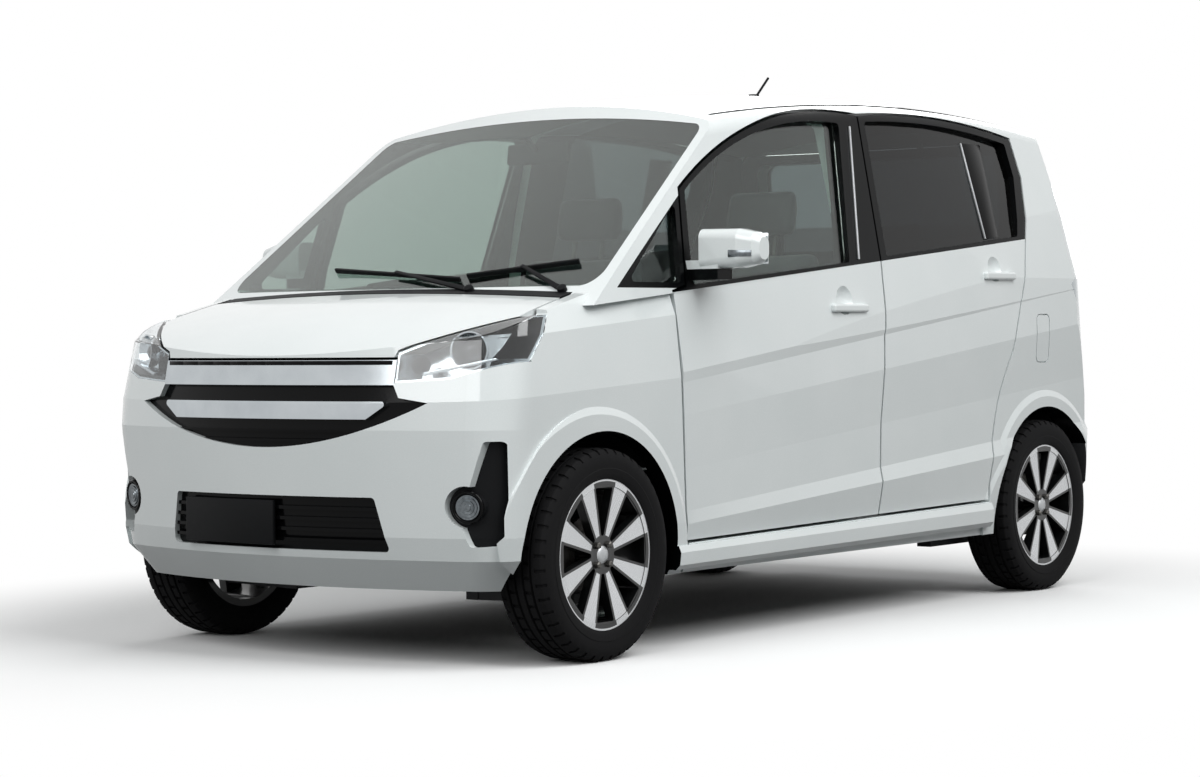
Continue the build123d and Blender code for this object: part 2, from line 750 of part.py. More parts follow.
def grille_outline():
    """The upper grille's mouth: a straight top, stepped ends and a lower lip on one arc."""
    left = tuple((-x, z) for x, z in reversed(GRILLE_SIDE))
    with BuildPart() as mouth:
        with BuildSketch(Plane.XZ.offset(1300)):
            with BuildLine():
                Polyline(*left, *GRILLE_SIDE)
                ThreePointArc(GRILLE_SIDE[-1], (0, GRILLE_LOW_Z), left[0])
            make_face()
        extrude(amount=500)
    return mouth.part


def nose_cylinder(at, radius):
    """A cylinder along the car through the left side of the nose."""
    with BuildPart() as cylinder:
        with BuildSketch(Plane.XZ.offset(1480)):
            with Locations(at):
                Circle(radius)
        extrude(amount=320)
    return cylinder.part


grille_hole = grille_outline()
lower_hole = slab_xz(LOWER_GRILLE, -1800, -1300, 12)
with BuildPart() as fog_hole_builder:
    add(slab_xz(FOG_BLADE, -1800, -1480, 10))
    add(nose_cylinder(FOG_AT, FOG_RADIUS))
fog_hole = fog_hole_builder.part
BUMPER_FRONT = ((-1800, 150), (-1152, 150), (-1152, 400), (-1333, 680), (-1386, 745), (-1435, 797), (-1435, 800),
                (-1800, 800))
bumper_front_zone = slab_yz(BUMPER_FRONT, -800, 800)
bumper = cut_to(nose_shell.part, bumper_front_zone, (
    both_sides(front_well), both_sides(lamp_zone), hood_zone, grille_hole, lower_hole, both_sides(fog_hole)))
save_solid(bumper.solids().sort_by(SortBy.VOLUME)[-1], "front_bumper")

BAR_DEPTH = 26
bar_layer = cut_to(nose_outer, block((-800, 800), (-1800, -1300), (500, 820)), (nose_hull(BAR_DEPTH, BAR_DEPTH),))
upper_bar = slab_xz(((-430, 810), (430, 810), (430, 736), (-430, 736)), -1800, -1300)
lower_bar = slab_xz(((-410, 694), (410, 694), (340, 648), (-340, 648)), -1800, -1300, 8)
with BuildPart() as grille_bars:
    add(cut_to(bar_layer, upper_bar))
    add(cut_to(bar_layer, lower_bar))
    add(grille_hole, mode=Mode.INTERSECT)
save(grille_bars, "grille_bars")

MESH_DEPTH = 16
mesh_layer = cut_to(nose_hull(MESH_DEPTH, MESH_DEPTH), block((-800, 800), (-1800, -1300), (250, 820)),
                    (nose_inner,))
# Slats and fog lamps stand proud of the mesh
SLAT_DEPTH = 7
# slat: z, height
SLATS = ((592, 7), (618, 7), (332, 9), (360, 9), (388, 9), (416, 9))
proud_layer = cut_to(nose_hull(SLAT_DEPTH, SLAT_DEPTH), block((-800, 800), (-1800, -1300), (250, 820)),
                     (nose_hull(MESH_DEPTH + 2, MESH_DEPTH + 2),))
with BuildPart() as slat_layer_builder:
    add(cut_to(proud_layer, grille_hole))
    add(cut_to(proud_layer, lower_hole))
slat_layer = slat_layer_builder.part
with BuildPart() as grille_mesh:
    add(cut_to(mesh_layer, grille_hole, (upper_bar, lower_bar)))
    add(cut_to(mesh_layer, lower_hole))
    for z, height in SLATS:
        slat = block((-FAR, FAR), (-1800, -1300), (z - height / 2, z + height / 2))
        add(cut_to(slat_layer, slat, (lower_bar,)))
save(grille_mesh, "grille_mesh")
with BuildPart() as fog:
    add(cut_to(mesh_layer, fog_hole))
    add(cut_to(proud_layer, nose_cylinder(FOG_AT, FOG_LAMP_RADIUS)))
save_solid(both_sides(fog.part), "fog_lamps")

# Body sides
side_wall = cut_to(cabin_shell.part, LEFT)
with BuildPart() as pillar:
    add(lower_inner)
    add(house_inner)
    add(lower_body(DOOR_WALL + 48, TAIL_WALL), mode=Mode.SUBTRACT)
    add(greenhouse(PILLAR_WALL + 40, ROOF_WALL, TAIL_WALL, SCREEN_WALL), mode=Mode.SUBTRACT)
    add(pillar_zone.part, mode=Mode.INTERSECT)
post_skin = cut_to(lower_outer, block((0, 800), (-1000, -760), (0, 1100)), (nose_inner,))
POST_X = (622, 655)
with BuildPart() as front_post_builder:
    add(block(POST_X, (FIREWALL_Y, -770), (240, 985)))
    add(block((POST_X[0], 676), (FIREWALL_Y, -825), (300, 985)))
    for tool in (front_well, fender, front_hole):
        add(tool, mode=Mode.SUBTRACT)
front_post = front_post_builder.part
with BuildPart() as body_side:
    add(side_wall)
    for tool in (front_hole, rear_hole, roof_zone, tail_hole, screen_plug.part, lamp_plug, quarter_window, rear_well,
                 front_well, bumper_zone, fender, post_skin, rear_bumper.part, cowl.part):
        add(tool, mode=Mode.SUBTRACT)
    add(front_post)
    add(pillar.part)
    add(front_leaf)
    add(rear_leaf)

# Fuel lid: a shut line cut into the left rear quarter
LID = ((1206, 752), (1296, 752), (1296, 912), (1206, 912))
LID_GROOVE = 4
LID_DEPTH = 8
with BuildPart() as lid_groove:
    add(slab_yz(LID, 600, 800, 22))
    add(slab_yz(((LID[0][0] + LID_GROOVE, LID[0][1] + LID_GROOVE), (LID[1][0] - LID_GROOVE, LID[1][1] + LID_GROOVE),
                 (LID[2][0] - LID_GROOVE, LID[2][1] - LID_GROOVE), (LID[3][0] + LID_GROOVE, LID[3][1] - LID_GROOVE)),
                600, 800, 18), mode=Mode.SUBTRACT)
    add(lower_body(LID_DEPTH, LID_DEPTH), mode=Mode.SUBTRACT)
side_solid = body_side.part.solids().sort_by(SortBy.VOLUME)[-1]
with BuildPart() as left_side:
    add(side_solid)
    add(lid_groove.part, mode=Mode.SUBTRACT)
save(left_side, "body_side_left")
with BuildPart() as right_side:
    mirror(side_solid, about=Plane.YZ)
save(right_side, "body_side_right")

# Floor, firewall and wheelhouses
FLOOR_Z = 205
FLOOR_TOP = 240
STEP_Y = 965
REAR_FLOOR_Z = 360
REAR_FLOOR_TOP = 392
LINER = 6
LINER_RADIUS = ARCH_RADIUS + 4
FRONT_LINER_X = 400
REAR_HOUSE_X = 530


def wheelhouse(y, x_low, x_high, z_low):
    """A half drum over a left wheel, closed on its inner side."""
    with BuildPart() as drum:
        add(wheel_cylinder(y, LINER_RADIUS + LINER, x_low, x_high))
        add(wheel_cylinder(y, LINER_RADIUS, x_low + LINER, x_high), mode=Mode.SUBTRACT)
        add(block((0, 900), (-FAR, FAR), (z_low, FAR)), mode=Mode.INTERSECT)
    return drum.part


rear_house = cut_to(wheelhouse(REAR_AXLE_Y, REAR_HOUSE_X, 668, REAR_FLOOR_Z), lower_inner)
save_solid(both_sides(rear_house), "rear_wheelhouses")
front_liner = cut_to(wheelhouse(FRONT_AXLE_Y, FRONT_LINER_X, 690, FLOOR_TOP), nose_inner, (lower_outer,))
save_solid(both_sides(front_liner), "front_liners")
with BuildPart() as floor_pan:
    add(block((-640, 640), (FIREWALL_Y, STEP_Y), (FLOOR_Z, FLOOR_TOP)))
    add(block((-640, 640), (STEP_Y - 32, STEP_Y), (FLOOR_Z, REAR_FLOOR_TOP)))
    add(block((-640, 640), (STEP_Y, 1585), (REAR_FLOOR_Z, REAR_FLOOR_TOP)))
    add(block((-620, 620), (FIREWALL_Y, FIREWALL_Y + 25), (FLOOR_TOP, 925)))
    add(both_sides(wheel_cylinder(REAR_AXLE_Y, LINER_RADIUS + LINER, REAR_HOUSE_X, 800)), mode=Mode.SUBTRACT)
    add(both_sides(wheel_cylinder(FRONT_AXLE_Y, LINER_RADIUS + LINER, FRONT_LINER_X, 800)), mode=Mode.SUBTRACT)
    add(lower_inner, mode=Mode.INTERSECT)
save(floor_pan, "floor_pan")

# Wheels and tyres
# tyre profile: radius, half width
TYRE_PROFILE = ((RIM_DIAMETER / 2, 74), (214, 80), (246, TYRE_WIDTH / 2), (266, 79), (277, 70), (TYRE_DIAMETER / 2, 52))
# Windows between the spokes: they widen towards the rim, and so do the spokes
SPOKES = 8
WINDOW_INNER = 50
WINDOW_OUTER = 177
WINDOW_WIDE = 76
WINDOW_SIDE_ANGLE = 75.5
WINDOW_CORNER = 5


def tyre(x, y):
    """A tyre on its rim's seat."""
    with BuildPart() as ring:
        with BuildSketch(Plane.XY) as section:
            with BuildLine():
                outer = [(x + half, y + radius) for radius, half in TYRE_PROFILE]
                inner = [(x - half, y + radius) for radius, half in reversed(TYRE_PROFILE)]
                Polyline(*outer, *inner, close=True)
            make_face()
        revolve(axis=Axis((0, y, 0), (1, 0, 0)), revolution_arc=360)
    return ring.part.moved(Location((0, 0, AXLE_Z)))


def wheel(x, y, face):
    """A rim with a flat spoked face on its outer side; face is 1 on the left."""
    rim = RIM_DIAMETER / 2
    with BuildPart() as disc:
        with BuildSketch(Plane.XY) as section:
            with BuildLine():
                Polyline(
                    (x + face * 72, y + rim), (x + face * 72, y + 182), (x + face * 40, y + 172),
                    (x - face * 72, y + 178), (x - face * 72, y + rim), close=True)
            make_face()
        revolve(axis=Axis((0, y, 0), (1, 0, 0)), revolution_arc=360)
        with BuildSketch(Plane.XY):
            with BuildLine():
                Polyline((x + face * 62, y), (x + face * 62, y + 40), (x + face * 70, y + 184), (x + face * 44, y + 184),
                         (x + face * 36, y + 60), (x + face * 20, y + 60), (x + face * 20, y), close=True)
            make_face()
        revolve(axis=Axis((0, y, 0), (1, 0, 0)), revolution_arc=360)
        with BuildSketch(Plane(origin=(x - 100, y, 0), x_dir=(0, 1, 0), z_dir=(1, 0, 0))) as windows:
            with PolarLocations((WINDOW_INNER + WINDOW_OUTER) / 2, SPOKES):
                Trapezoid(WINDOW_WIDE, WINDOW_OUTER - WINDOW_INNER, WINDOW_SIDE_ANGLE, rotation=90)
            fillet(windows.vertices(), WINDOW_CORNER)
        extrude(amount=200, mode=Mode.SUBTRACT)
    return disc.part.moved(Location((0, 0, AXLE_Z)))


# corner: name, x, y, side
CORNERS = (
    ("front_left", TRACK_FRONT / 2, FRONT_AXLE_Y, 1),
    ("front_right", -TRACK_FRONT / 2, FRONT_AXLE_Y, -1),
    ("rear_left", TRACK_REAR / 2, REAR_AXLE_Y, 1),
    ("rear_right", -TRACK_REAR / 2, REAR_AXLE_Y, -1),
)
for corner, x, y, side in CORNERS:
    save_solid(tyre(x, y), f"tyre_{corner}")
    save_solid(wheel(x, y, side), f"wheel_{corner}")

# Front suspension: knuckles turn about upright axes inside the wheels
KINGPIN_X = 625
ARM_Z = 176


def knuckle():
    """A left knuckle: its spindle holds the wheel, its foot stands on the lower arm."""
    with BuildPart() as carrier:
        add(wheel_cylinder(FRONT_AXLE_Y, 52, 560, 664))
        add(wheel_cylinder(FRONT_AXLE_Y, 24, 600, TRACK_FRONT / 2 + 20))
        add(block((KINGPIN_X - 40, KINGPIN_X), (FRONT_AXLE_Y - 25, FRONT_AXLE_Y + 25), (ARM_Z, AXLE_Z)))
        add(block((500, 600), (FRONT_AXLE_Y - 22, FRONT_AXLE_Y + 22), (AXLE_Z + 10, AXLE_Z + 50)))
        with Locations((516, FRONT_AXLE_Y, 440)):
            Cylinder(24, 260)
    return carrier.part


save_pair(knuckle(), "knuckle")
ENGINE_Z = 250
with BuildPart() as front_suspension:
    add(block((-330, 330), (-1190, -1090), (180, ENGINE_Z)))
    for side in (1, -1):
        with BuildSketch(Plane.XY.offset(ARM_Z - 26)):
            with BuildLine():
                Polyline((side * 330, -1230), (side * 330, -1080), (side * (KINGPIN_X + 10), FRONT_AXLE_Y + 24),
                         (side * (KINGPIN_X + 10), FRONT_AXLE_Y - 24), close=True)
            make_face()
        extrude(amount=26)
        add(block((side * 330 - 20, side * 330 + 20), (-1230, -1080), (ARM_Z - 26, 200)))
        add(block((side * 280 - 30, side * 280 + 30), (-1190, -850), (180, FLOOR_Z)))
save(front_suspension, "front_suspension")

# Rear axle beam with spindles
ARM_X = 490
with BuildPart() as rear_axle:
    add(block((-ARM_X, ARM_X), (1130, 1200), (212, 256)))
    for side in (1, -1):
        add(block((side * ARM_X - 25, side * ARM_X + 25), (880, 1320), (FLOOR_Z - 45, FLOOR_Z)))
        add(block((side * ARM_X - 25, side * ARM_X + 25), (1100, 1320), (FLOOR_Z - 45, 330)))
    add(both_sides(wheel_cylinder(REAR_AXLE_Y, 24, ARM_X, TRACK_REAR / 2 + 20)))
    add(both_sides(wheel_cylinder(REAR_AXLE_Y, 64, ARM_X, 600)))
save(rear_axle, "rear_axle")

# Engine, exhaust and tank
save_solid(block((-330, 240), (-1500, -960), (ENGINE_Z, 800)), "engine")
PIPE_X = -380
PIPE_Z = FLOOR_Z - 26
with BuildPart() as exhaust:
    with BuildSketch(Plane.XZ.offset(880)):
        with Locations((PIPE_X, PIPE_Z)):
            Circle(24)
    extrude(amount=-(1430 + 880))
    for y in (-500, 300):
        add(block((PIPE_X - 10, PIPE_X + 10), (y - 20, y + 20), (PIPE_Z, FLOOR_Z)))
    with BuildSketch(Plane.XZ.offset(-1420)):
        with Locations((PIPE_X + 10, 222)):
            Circle(68)
    extrude(amount=-170)
    with BuildSketch(Plane.XZ.offset(-1580)):
        with Locations((PIPE_X - 20, 230)):
            Circle(22)
    extrude(amount=-90)
save(exhaust, "exhaust")
save_solid(block((-280, 300), (420, 860), (152, FLOOR_Z)), "fuel_tank")

# Cabin: dashboard, steering, seats
DASH_HALF = 600
DRIVER_X = -330
COLUMN_TILT = 25
WHEEL_HUB = (DRIVER_X, -520, 862)
COLUMN = Plane(origin=WHEEL_HUB, x_dir=(1, 0, 0), z_dir=(0, cos(radians(COLUMN_TILT)), sin(radians(COLUMN_TILT))))
with BuildPart() as dashboard:
    add(slab_yz(((-880, 660), (-880, 950), (-715, 985), (-640, 930), (-625, 800), (-690, 680)), -DASH_HALF, DASH_HALF, 25))
    with BuildSketch(COLUMN.offset(-20)):
        Circle(26)
    extrude(amount=-150)
save(dashboard, "dashboard")
with BuildPart() as steering_wheel:
    with BuildSketch(Plane(origin=WHEEL_HUB, x_dir=COLUMN.x_dir, z_dir=COLUMN.y_dir)) as rim_section:
        with Locations((178, 0)):
            Circle(15)
    revolve(axis=Axis(WHEEL_HUB, COLUMN.z_dir), revolution_arc=360)
    with BuildSketch(COLUMN.offset(-20)):
        Circle(62)
    extrude(amount=32)
    with BuildSketch(COLUMN.offset(-9)):
        Rectangle(340, 44)
        with Locations((0, -85)):
            Rectangle(40, 170)
    extrude(amount=14)
save(steering_wheel, "steering_wheel")

SEAT_WIDTH = 470
SEAT_SIDE = ((-440, 470), (-440, 570), (-20, 600), (120, 1120), (215, 1120), (150, 620), (90, 470))
HEADREST_SIDE = ((140, 1110), (165, 1310), (235, 1310), (215, 1110))
with BuildPart() as front_seats:
    for side in (1, -1):
        middle = side * -DRIVER_X
        add(slab_yz(SEAT_SIDE, middle - SEAT_WIDTH / 2, middle + SEAT_WIDTH / 2, 20))
        add(slab_yz(HEADREST_SIDE, middle - 125, middle + 125))
        add(block((middle - 190, middle + 190), (-360, 40), (FLOOR_TOP, 480)))
save(front_seats, "front_seats")
BENCH_HALF = 515
BENCH_SIDE = ((560, 420), (560, 560), (950, 590), (1010, 1090), (1095, 1090), (1080, 420))
REST_SIDE = ((1010, 1080), (1025, 1240), (1090, 1240), (1090, 1080))
with BuildPart() as rear_seat:
    add(slab_yz(BENCH_SIDE, -BENCH_HALF, BENCH_HALF, 20))
    add(block((-400, 400), (600, STEP_Y - 32), (FLOOR_TOP, 430)))
    for side in (1, -1):
        add(slab_yz(REST_SIDE, side * 270 - 110, side * 270 + 110))
save(rear_seat, "rear_seat")

# Door mirrors and antenna
# mirror section: x, middle y, middle z, depth along y, height, corner radius
MIRROR_SECTIONS = (
    (742, -694, 1090, 96, 112, 26),
    (860, -692, 1091, 92, 106, 30),
    (905, -690, 1090, 74, 88, 28),
    (922, -688, 1089, 46, 60, 20),
)
with BuildPart() as mirror_left:
    for x, y, z, depth, height, radius in MIRROR_SECTIONS:
        with BuildSketch(Plane.YZ.offset(x)):
            with Locations((y, z)):
                RectangleRounded(depth, height, radius)
    loft(ruled=True)
    add(block((640, 800), (-735, -665), (1006, 1060)))
    add(lower_outer, mode=Mode.SUBTRACT)
    add(house_outer, mode=Mode.SUBTRACT)
save_pair(mirror_left.part, "door_mirror")
ANTENNA_Y = 645
ANTENNA_LEAN = 48
with BuildPart() as antenna:
    with Locations((0, ANTENNA_Y, HEIGHT)):
        Cylinder(17, 36)
    with BuildSketch(Plane(origin=(0, ANTENNA_Y, HEIGHT), z_dir=(0, sin(radians(ANTENNA_LEAN)), cos(radians(ANTENNA_LEAN))))):
        Circle(4)
    extrude(amount=115)
    add(house_outer, mode=Mode.SUBTRACT)
save(antenna, "antenna")
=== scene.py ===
# %% [markdown]
# # A small white five-door car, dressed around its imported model
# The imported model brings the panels, glass, wheels and cabin in metres. This script gives each of them
# its finish, adds the trim that is too fine for the panels, and sets a camera and plain studio light.

from math import atan2, cos, pi, radians

import bmesh
import bpy
from mathutils import Matrix, Vector


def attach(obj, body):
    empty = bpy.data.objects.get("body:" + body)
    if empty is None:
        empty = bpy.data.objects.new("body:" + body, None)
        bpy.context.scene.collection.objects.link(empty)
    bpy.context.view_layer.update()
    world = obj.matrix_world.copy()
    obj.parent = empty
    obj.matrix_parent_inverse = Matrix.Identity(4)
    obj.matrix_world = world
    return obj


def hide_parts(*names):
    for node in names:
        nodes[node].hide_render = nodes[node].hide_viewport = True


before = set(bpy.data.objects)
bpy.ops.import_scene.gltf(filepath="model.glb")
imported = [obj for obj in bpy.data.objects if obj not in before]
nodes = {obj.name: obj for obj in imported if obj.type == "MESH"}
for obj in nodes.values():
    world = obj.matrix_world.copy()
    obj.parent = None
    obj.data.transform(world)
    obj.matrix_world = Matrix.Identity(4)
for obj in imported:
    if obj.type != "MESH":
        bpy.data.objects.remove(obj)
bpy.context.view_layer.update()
scene = bpy.context.scene
SIDES = (("left", 1), ("right", -1))

# %% [markdown]
# ## Camera
# The picture was taken from ahead and to the car's left, from about chest height, with a long lens. The
# place and the turn below come from matching known points of the car, such as wheel centres and door cuts.

# %% Camera
PHOTO_WIDTH = 1200
FOCAL_PIXELS = 2862.9
SENSOR_MM = 36
CAMERA_AT = (5.2255, -7.1642, 0.8669)
CAMERA_RIGHT = Vector((0.79961, 0.60045, -0.00967))
CAMERA_UP = Vector((-0.00415, 0.02163, 0.99976))
CLIP_END = 200

camera_data = bpy.data.cameras.new("photo_camera")
camera_data.sensor_width = SENSOR_MM
camera_data.lens = FOCAL_PIXELS / PHOTO_WIDTH * SENSOR_MM
camera_data.clip_end = CLIP_END
camera = bpy.data.objects.new("photo_camera", camera_data)
back = CAMERA_RIGHT.cross(CAMERA_UP)
turn = Matrix((CAMERA_RIGHT, CAMERA_UP, back)).transposed()
camera.matrix_world = Matrix.Translation(CAMERA_AT) @ turn.to_4x4()
scene.collection.objects.link(camera)
scene.camera = camera
print("lens", round(camera_data.lens, 1), "mm")

# %% [markdown]
# ## Finishes
# Every finish is a node tree on Object coordinates, which are metres here, so a pattern's scale is one
# over its real size. One function adds a node with its settings and links, and one turns the written
# colours to linear light.

# %% Node and colour helpers
MM = 0.001


def linear(code):
    """A #rrggbb colour as linear RGBA."""
    shades = [int(code[i : i + 2], 16) / 255 for i in (1, 3, 5)]
    return tuple(s / 12.92 if s <= 0.04045 else ((s + 0.055) / 1.055) ** 2.4 for s in shades) + (1,)


def add_node(tree, kind, inputs=None, **settings):
    """One node, its settings, and its inputs as values or as links from other sockets."""
    made = tree.nodes.new(kind)
    for name, value in settings.items():
        setattr(made, name, value)
    for socket, value in (inputs or {}).items():
        if isinstance(value, bpy.types.NodeSocket):
            tree.links.new(value, made.inputs[socket])
        else:
            made.inputs[socket].default_value = value
    return made


def new_material(name):
    """An empty material and its tree."""
    made = bpy.data.materials.new(name)
    made.use_nodes = True
    made.node_tree.nodes.clear()
    return made, made.node_tree


SOCKETS = {
    "metallic": "Metallic", "coat": "Coat Weight", "sheen": "Sheen Weight", "gloss": "Specular IOR Level"}
ROUGH_SPREAD = 0.15
GRAIN_RELIEF = 0.3


def grained(name, dark, light, size_mm, rough, bump=0.1, **shader):
    """A finish whose colour and roughness wander between two shades over grains of a real size."""
    material, tree = new_material(name)
    size = size_mm * MM
    place = add_node(tree, "ShaderNodeTexCoord").outputs["Object"]
    noise = add_node(tree, "ShaderNodeTexNoise", {"Vector": place, "Scale": 1 / size, "Detail": 3})
    grain = noise.outputs["Fac"]
    shade = add_node(
        tree, "ShaderNodeMix", {0: grain, 6: linear(dark), 7: linear(light)}, data_type="RGBA")
    spread = add_node(
        tree, "ShaderNodeMapRange",
        {"Value": grain, "To Min": rough * (1 - ROUGH_SPREAD), "To Max": rough * (1 + ROUGH_SPREAD)})
    relief = add_node(
        tree, "ShaderNodeBump", {"Height": grain, "Strength": bump, "Distance": size * GRAIN_RELIEF})
    inputs = {
        "Base Color": shade.outputs[2], "Roughness": spread.outputs["Result"],
        "Normal": relief.outputs["Normal"]}
    inputs.update({SOCKETS[setting]: value for setting, value in shader.items()})
    surface = add_node(tree, "ShaderNodeBsdfPrincipled", inputs)
    add_node(tree, "ShaderNodeOutputMaterial", {"Surface": surface.outputs["BSDF"]})
    return material


# %% [markdown]
# ### Pearl white paint
# A white base coat under mica flakes and a clear lacquer. The eye sees a soft white that changes a
# little over each hand's breadth, and one sharp reflection on top. The flakes are far finer than a pixel,
# so they are drawn about 2.5 mm wide. Each panel's inner face is what the cabin or the engine bay
# shows: a mask reads the surface's own direction, so one node can carry both finishes. More masks lay
# black film on the window frames, between straight lines, and blacken the insides of the wheel arches.

# %% Pearl white paint
FLAKE_MM = 2.5
FLAKE_SHARE = 0.35
CLOUD_MM = 260
TRIM_GRAIN_MM = 3
PAINT_SHADES = ("#d5dddd", "#e6ebeb")
TRIM_SHADES = ("#2b2c2e", "#37383a")
INWARD = -0.45
DARK_GLOSS = 0.1
AXLE_Z = 0.281
AXLE_Y = {"front": -1.1525, "rear": 1.2775}
ARCH_EDGE = 0.3256


def from_axle(tree, place, axle_y):
    """A place as it lies square to an axle, and its distance from the axle."""
    centred = add_node(tree, "ShaderNodeMapping", {"Vector": place, "Location": (0, -axle_y, -AXLE_Z)})
    flat = add_node(
        tree, "ShaderNodeVectorMath", {0: centred.outputs["Vector"], 1: (0, 1, 1)}, operation="MULTIPLY")
    reach = add_node(tree, "ShaderNodeVectorMath", {0: flat.outputs["Vector"]}, operation="LENGTH")
    return flat.outputs["Vector"], reach.outputs["Value"]


def painted(name, inner_axis, inner_shades=TRIM_SHADES, film_lines=(), axles=()):
    """Pearl paint outside, trim where the surface faces into the car, black film between lines.

    A film line (a, b, c) keeps the film where a * y + b * z is above c. The inside of the arch round
    each named axle is black too.
    """
    material, tree = new_material(name)
    coords = add_node(tree, "ShaderNodeTexCoord")
    place = coords.outputs["Object"]
    cloud = add_node(
        tree, "ShaderNodeTexNoise", {"Vector": place, "Scale": 1 / (CLOUD_MM * MM), "Detail": 2})
    flake = add_node(tree, "ShaderNodeTexVoronoi", {"Vector": place, "Scale": 1 / (FLAKE_MM * MM)})
    blend = add_node(
        tree, "ShaderNodeMix",
        {0: FLAKE_SHARE, 2: cloud.outputs["Fac"], 3: flake.outputs["Distance"]}, data_type="FLOAT")
    coat_colour = add_node(
        tree, "ShaderNodeMix",
        {0: blend.outputs[0], 6: linear(PAINT_SHADES[0]), 7: linear(PAINT_SHADES[1])}, data_type="RGBA")
    peel = add_node(
        tree, "ShaderNodeBump", {"Height": cloud.outputs["Fac"], "Strength": 0.03, "Distance": 2 * MM})
    paint = add_node(
        tree, "ShaderNodeBsdfPrincipled",
        {"Base Color": coat_colour.outputs[2], "Roughness": 0.38, "Coat Weight": 1.0,
         "Coat Roughness": 0.04, "Normal": peel.outputs["Normal"]})
    surface = paint.outputs["BSDF"]
    split = add_node(tree, "ShaderNodeSeparateXYZ", {"Vector": place})
    masks = []
    for a, b, c in film_lines:
        rise = add_node(tree, "ShaderNodeMath", {0: split.outputs["Z"], 1: b}, operation="MULTIPLY")
        line = add_node(
            tree, "ShaderNodeMath", {0: split.outputs["Y"], 1: a, 2: rise.outputs[0]},
            operation="MULTIPLY_ADD")
        mask = add_node(tree, "ShaderNodeMath", {0: line.outputs[0], 1: c}, operation="GREATER_THAN")
        if masks:
            mask = add_node(
                tree, "ShaderNodeMath", {0: masks.pop(), 1: mask.outputs[0]}, operation="MULTIPLY")
        masks.append(mask.outputs[0])
    for axle in axles:
        reach = from_axle(tree, place, AXLE_Y[axle])[1]
        mask = add_node(tree, "ShaderNodeMath", {0: reach, 1: ARCH_EDGE}, operation="LESS_THAN")
        masks.append(mask.outputs[0])
    for mask in masks:
        film = add_node(
            tree, "ShaderNodeBsdfPrincipled",
            {"Base Color": linear("#060708"), "Roughness": 0.25, "Specular IOR Level": DARK_GLOSS,
             "Normal": peel.outputs["Normal"]})
        covered = add_node(tree, "ShaderNodeMixShader", {0: mask, 1: surface, 2: film.outputs["BSDF"]})
        surface = covered.outputs[0]
    if inner_axis:
        facing = add_node(tree, "ShaderNodeSeparateXYZ", {"Vector": coords.outputs["Normal"]})
        outward = facing.outputs["Y" if inner_axis == "tail" else "Z"]
        if inner_axis == "side":
            side = add_node(tree, "ShaderNodeMath", {0: split.outputs["X"]}, operation="SIGN")
            outward = add_node(
                tree, "ShaderNodeMath", {0: side.outputs[0], 1: facing.outputs["X"]},
                operation="MULTIPLY").outputs[0]
        elif inner_axis == "nose":
            outward = add_node(
                tree, "ShaderNodeMath", {0: facing.outputs["Y"], 1: -1.0}, operation="MULTIPLY").outputs[0]
        inner = add_node(tree, "ShaderNodeMath", {0: outward, 1: INWARD}, operation="LESS_THAN")
        grain = add_node(
            tree, "ShaderNodeTexNoise", {"Vector": place, "Scale": 1 / (TRIM_GRAIN_MM * MM), "Detail": 2})
        trim_colour = add_node(
            tree, "ShaderNodeMix",
            {0: grain.outputs["Fac"], 6: linear(inner_shades[0]), 7: linear(inner_shades[1])},
            data_type="RGBA")
        trim = add_node(
            tree, "ShaderNodeBsdfPrincipled", {"Base Color": trim_colour.outputs[2], "Roughness": 0.75})
        lined = add_node(
            tree, "ShaderNodeMixShader", {0: inner.outputs[0], 1: surface, 2: trim.outputs["BSDF"]})
        surface = lined.outputs[0]
    add_node(tree, "ShaderNodeOutputMaterial", {"Surface": surface})
    return material


# black film covers the doors above the belt line, the corner below each windscreen pillar, and the
# mirrors' feet
BELT_AT = 1.048
BELT_SLOPE = 0.0925
PILLAR_SLOPE = 0.726
PILLAR_FOOT = 1.757
PILLAR_LOW_Z = 0.984
PILLAR_END_Y = -0.66
MIRROR_FOOT_Z = 1.036
pillar_film = ((0, 1, PILLAR_LOW_Z), (PILLAR_SLOPE, -1, -PILLAR_FOOT), (-1, 0, -PILLAR_END_Y))
side_paint = painted(
    "pearl_white_lacquer_side", "side", film_lines=pillar_film, axles=("front", "rear"))
door_paint = painted("pearl_white_lacquer_door", "side", film_lines=((-BELT_SLOPE, 1, BELT_AT),))
roof_paint = painted("pearl_white_lacquer_roof", "under", ("#7d7c78", "#8d8b86"))
hood_paint = painted("pearl_white_lacquer_hood", "under", ("#c3c7c6", "#d0d3d2"))
nose_paint = painted("pearl_white_lacquer_nose", "nose", axles=("front",))
tail_paint = painted("pearl_white_lacquer_tail", "tail", axles=("rear",))
mirror_paint = painted("pearl_white_lacquer_mirror", None, film_lines=((0, -1, -MIRROR_FOOT_Z),))
print("paints", [m.name for m in bpy.data.materials if m.name.startswith("pearl")])

# %% [markdown]
# ### Glass and lenses
# Car glass is a smooth sheet that mirrors a little and tints what is behind it. Lamps have to reach the
# cabin through it, so shadow rays meet a tinted clear shader instead of the glass. In the picture the dark
# rear glass mirrors least and the windscreen most. A higher index mirrors more, so each kind of pane has
# its own, a little under or over that of plain glass.

# %% Glass and lenses
FAINT, PLAIN, STRONG = 1.3, 1.45, 1.6


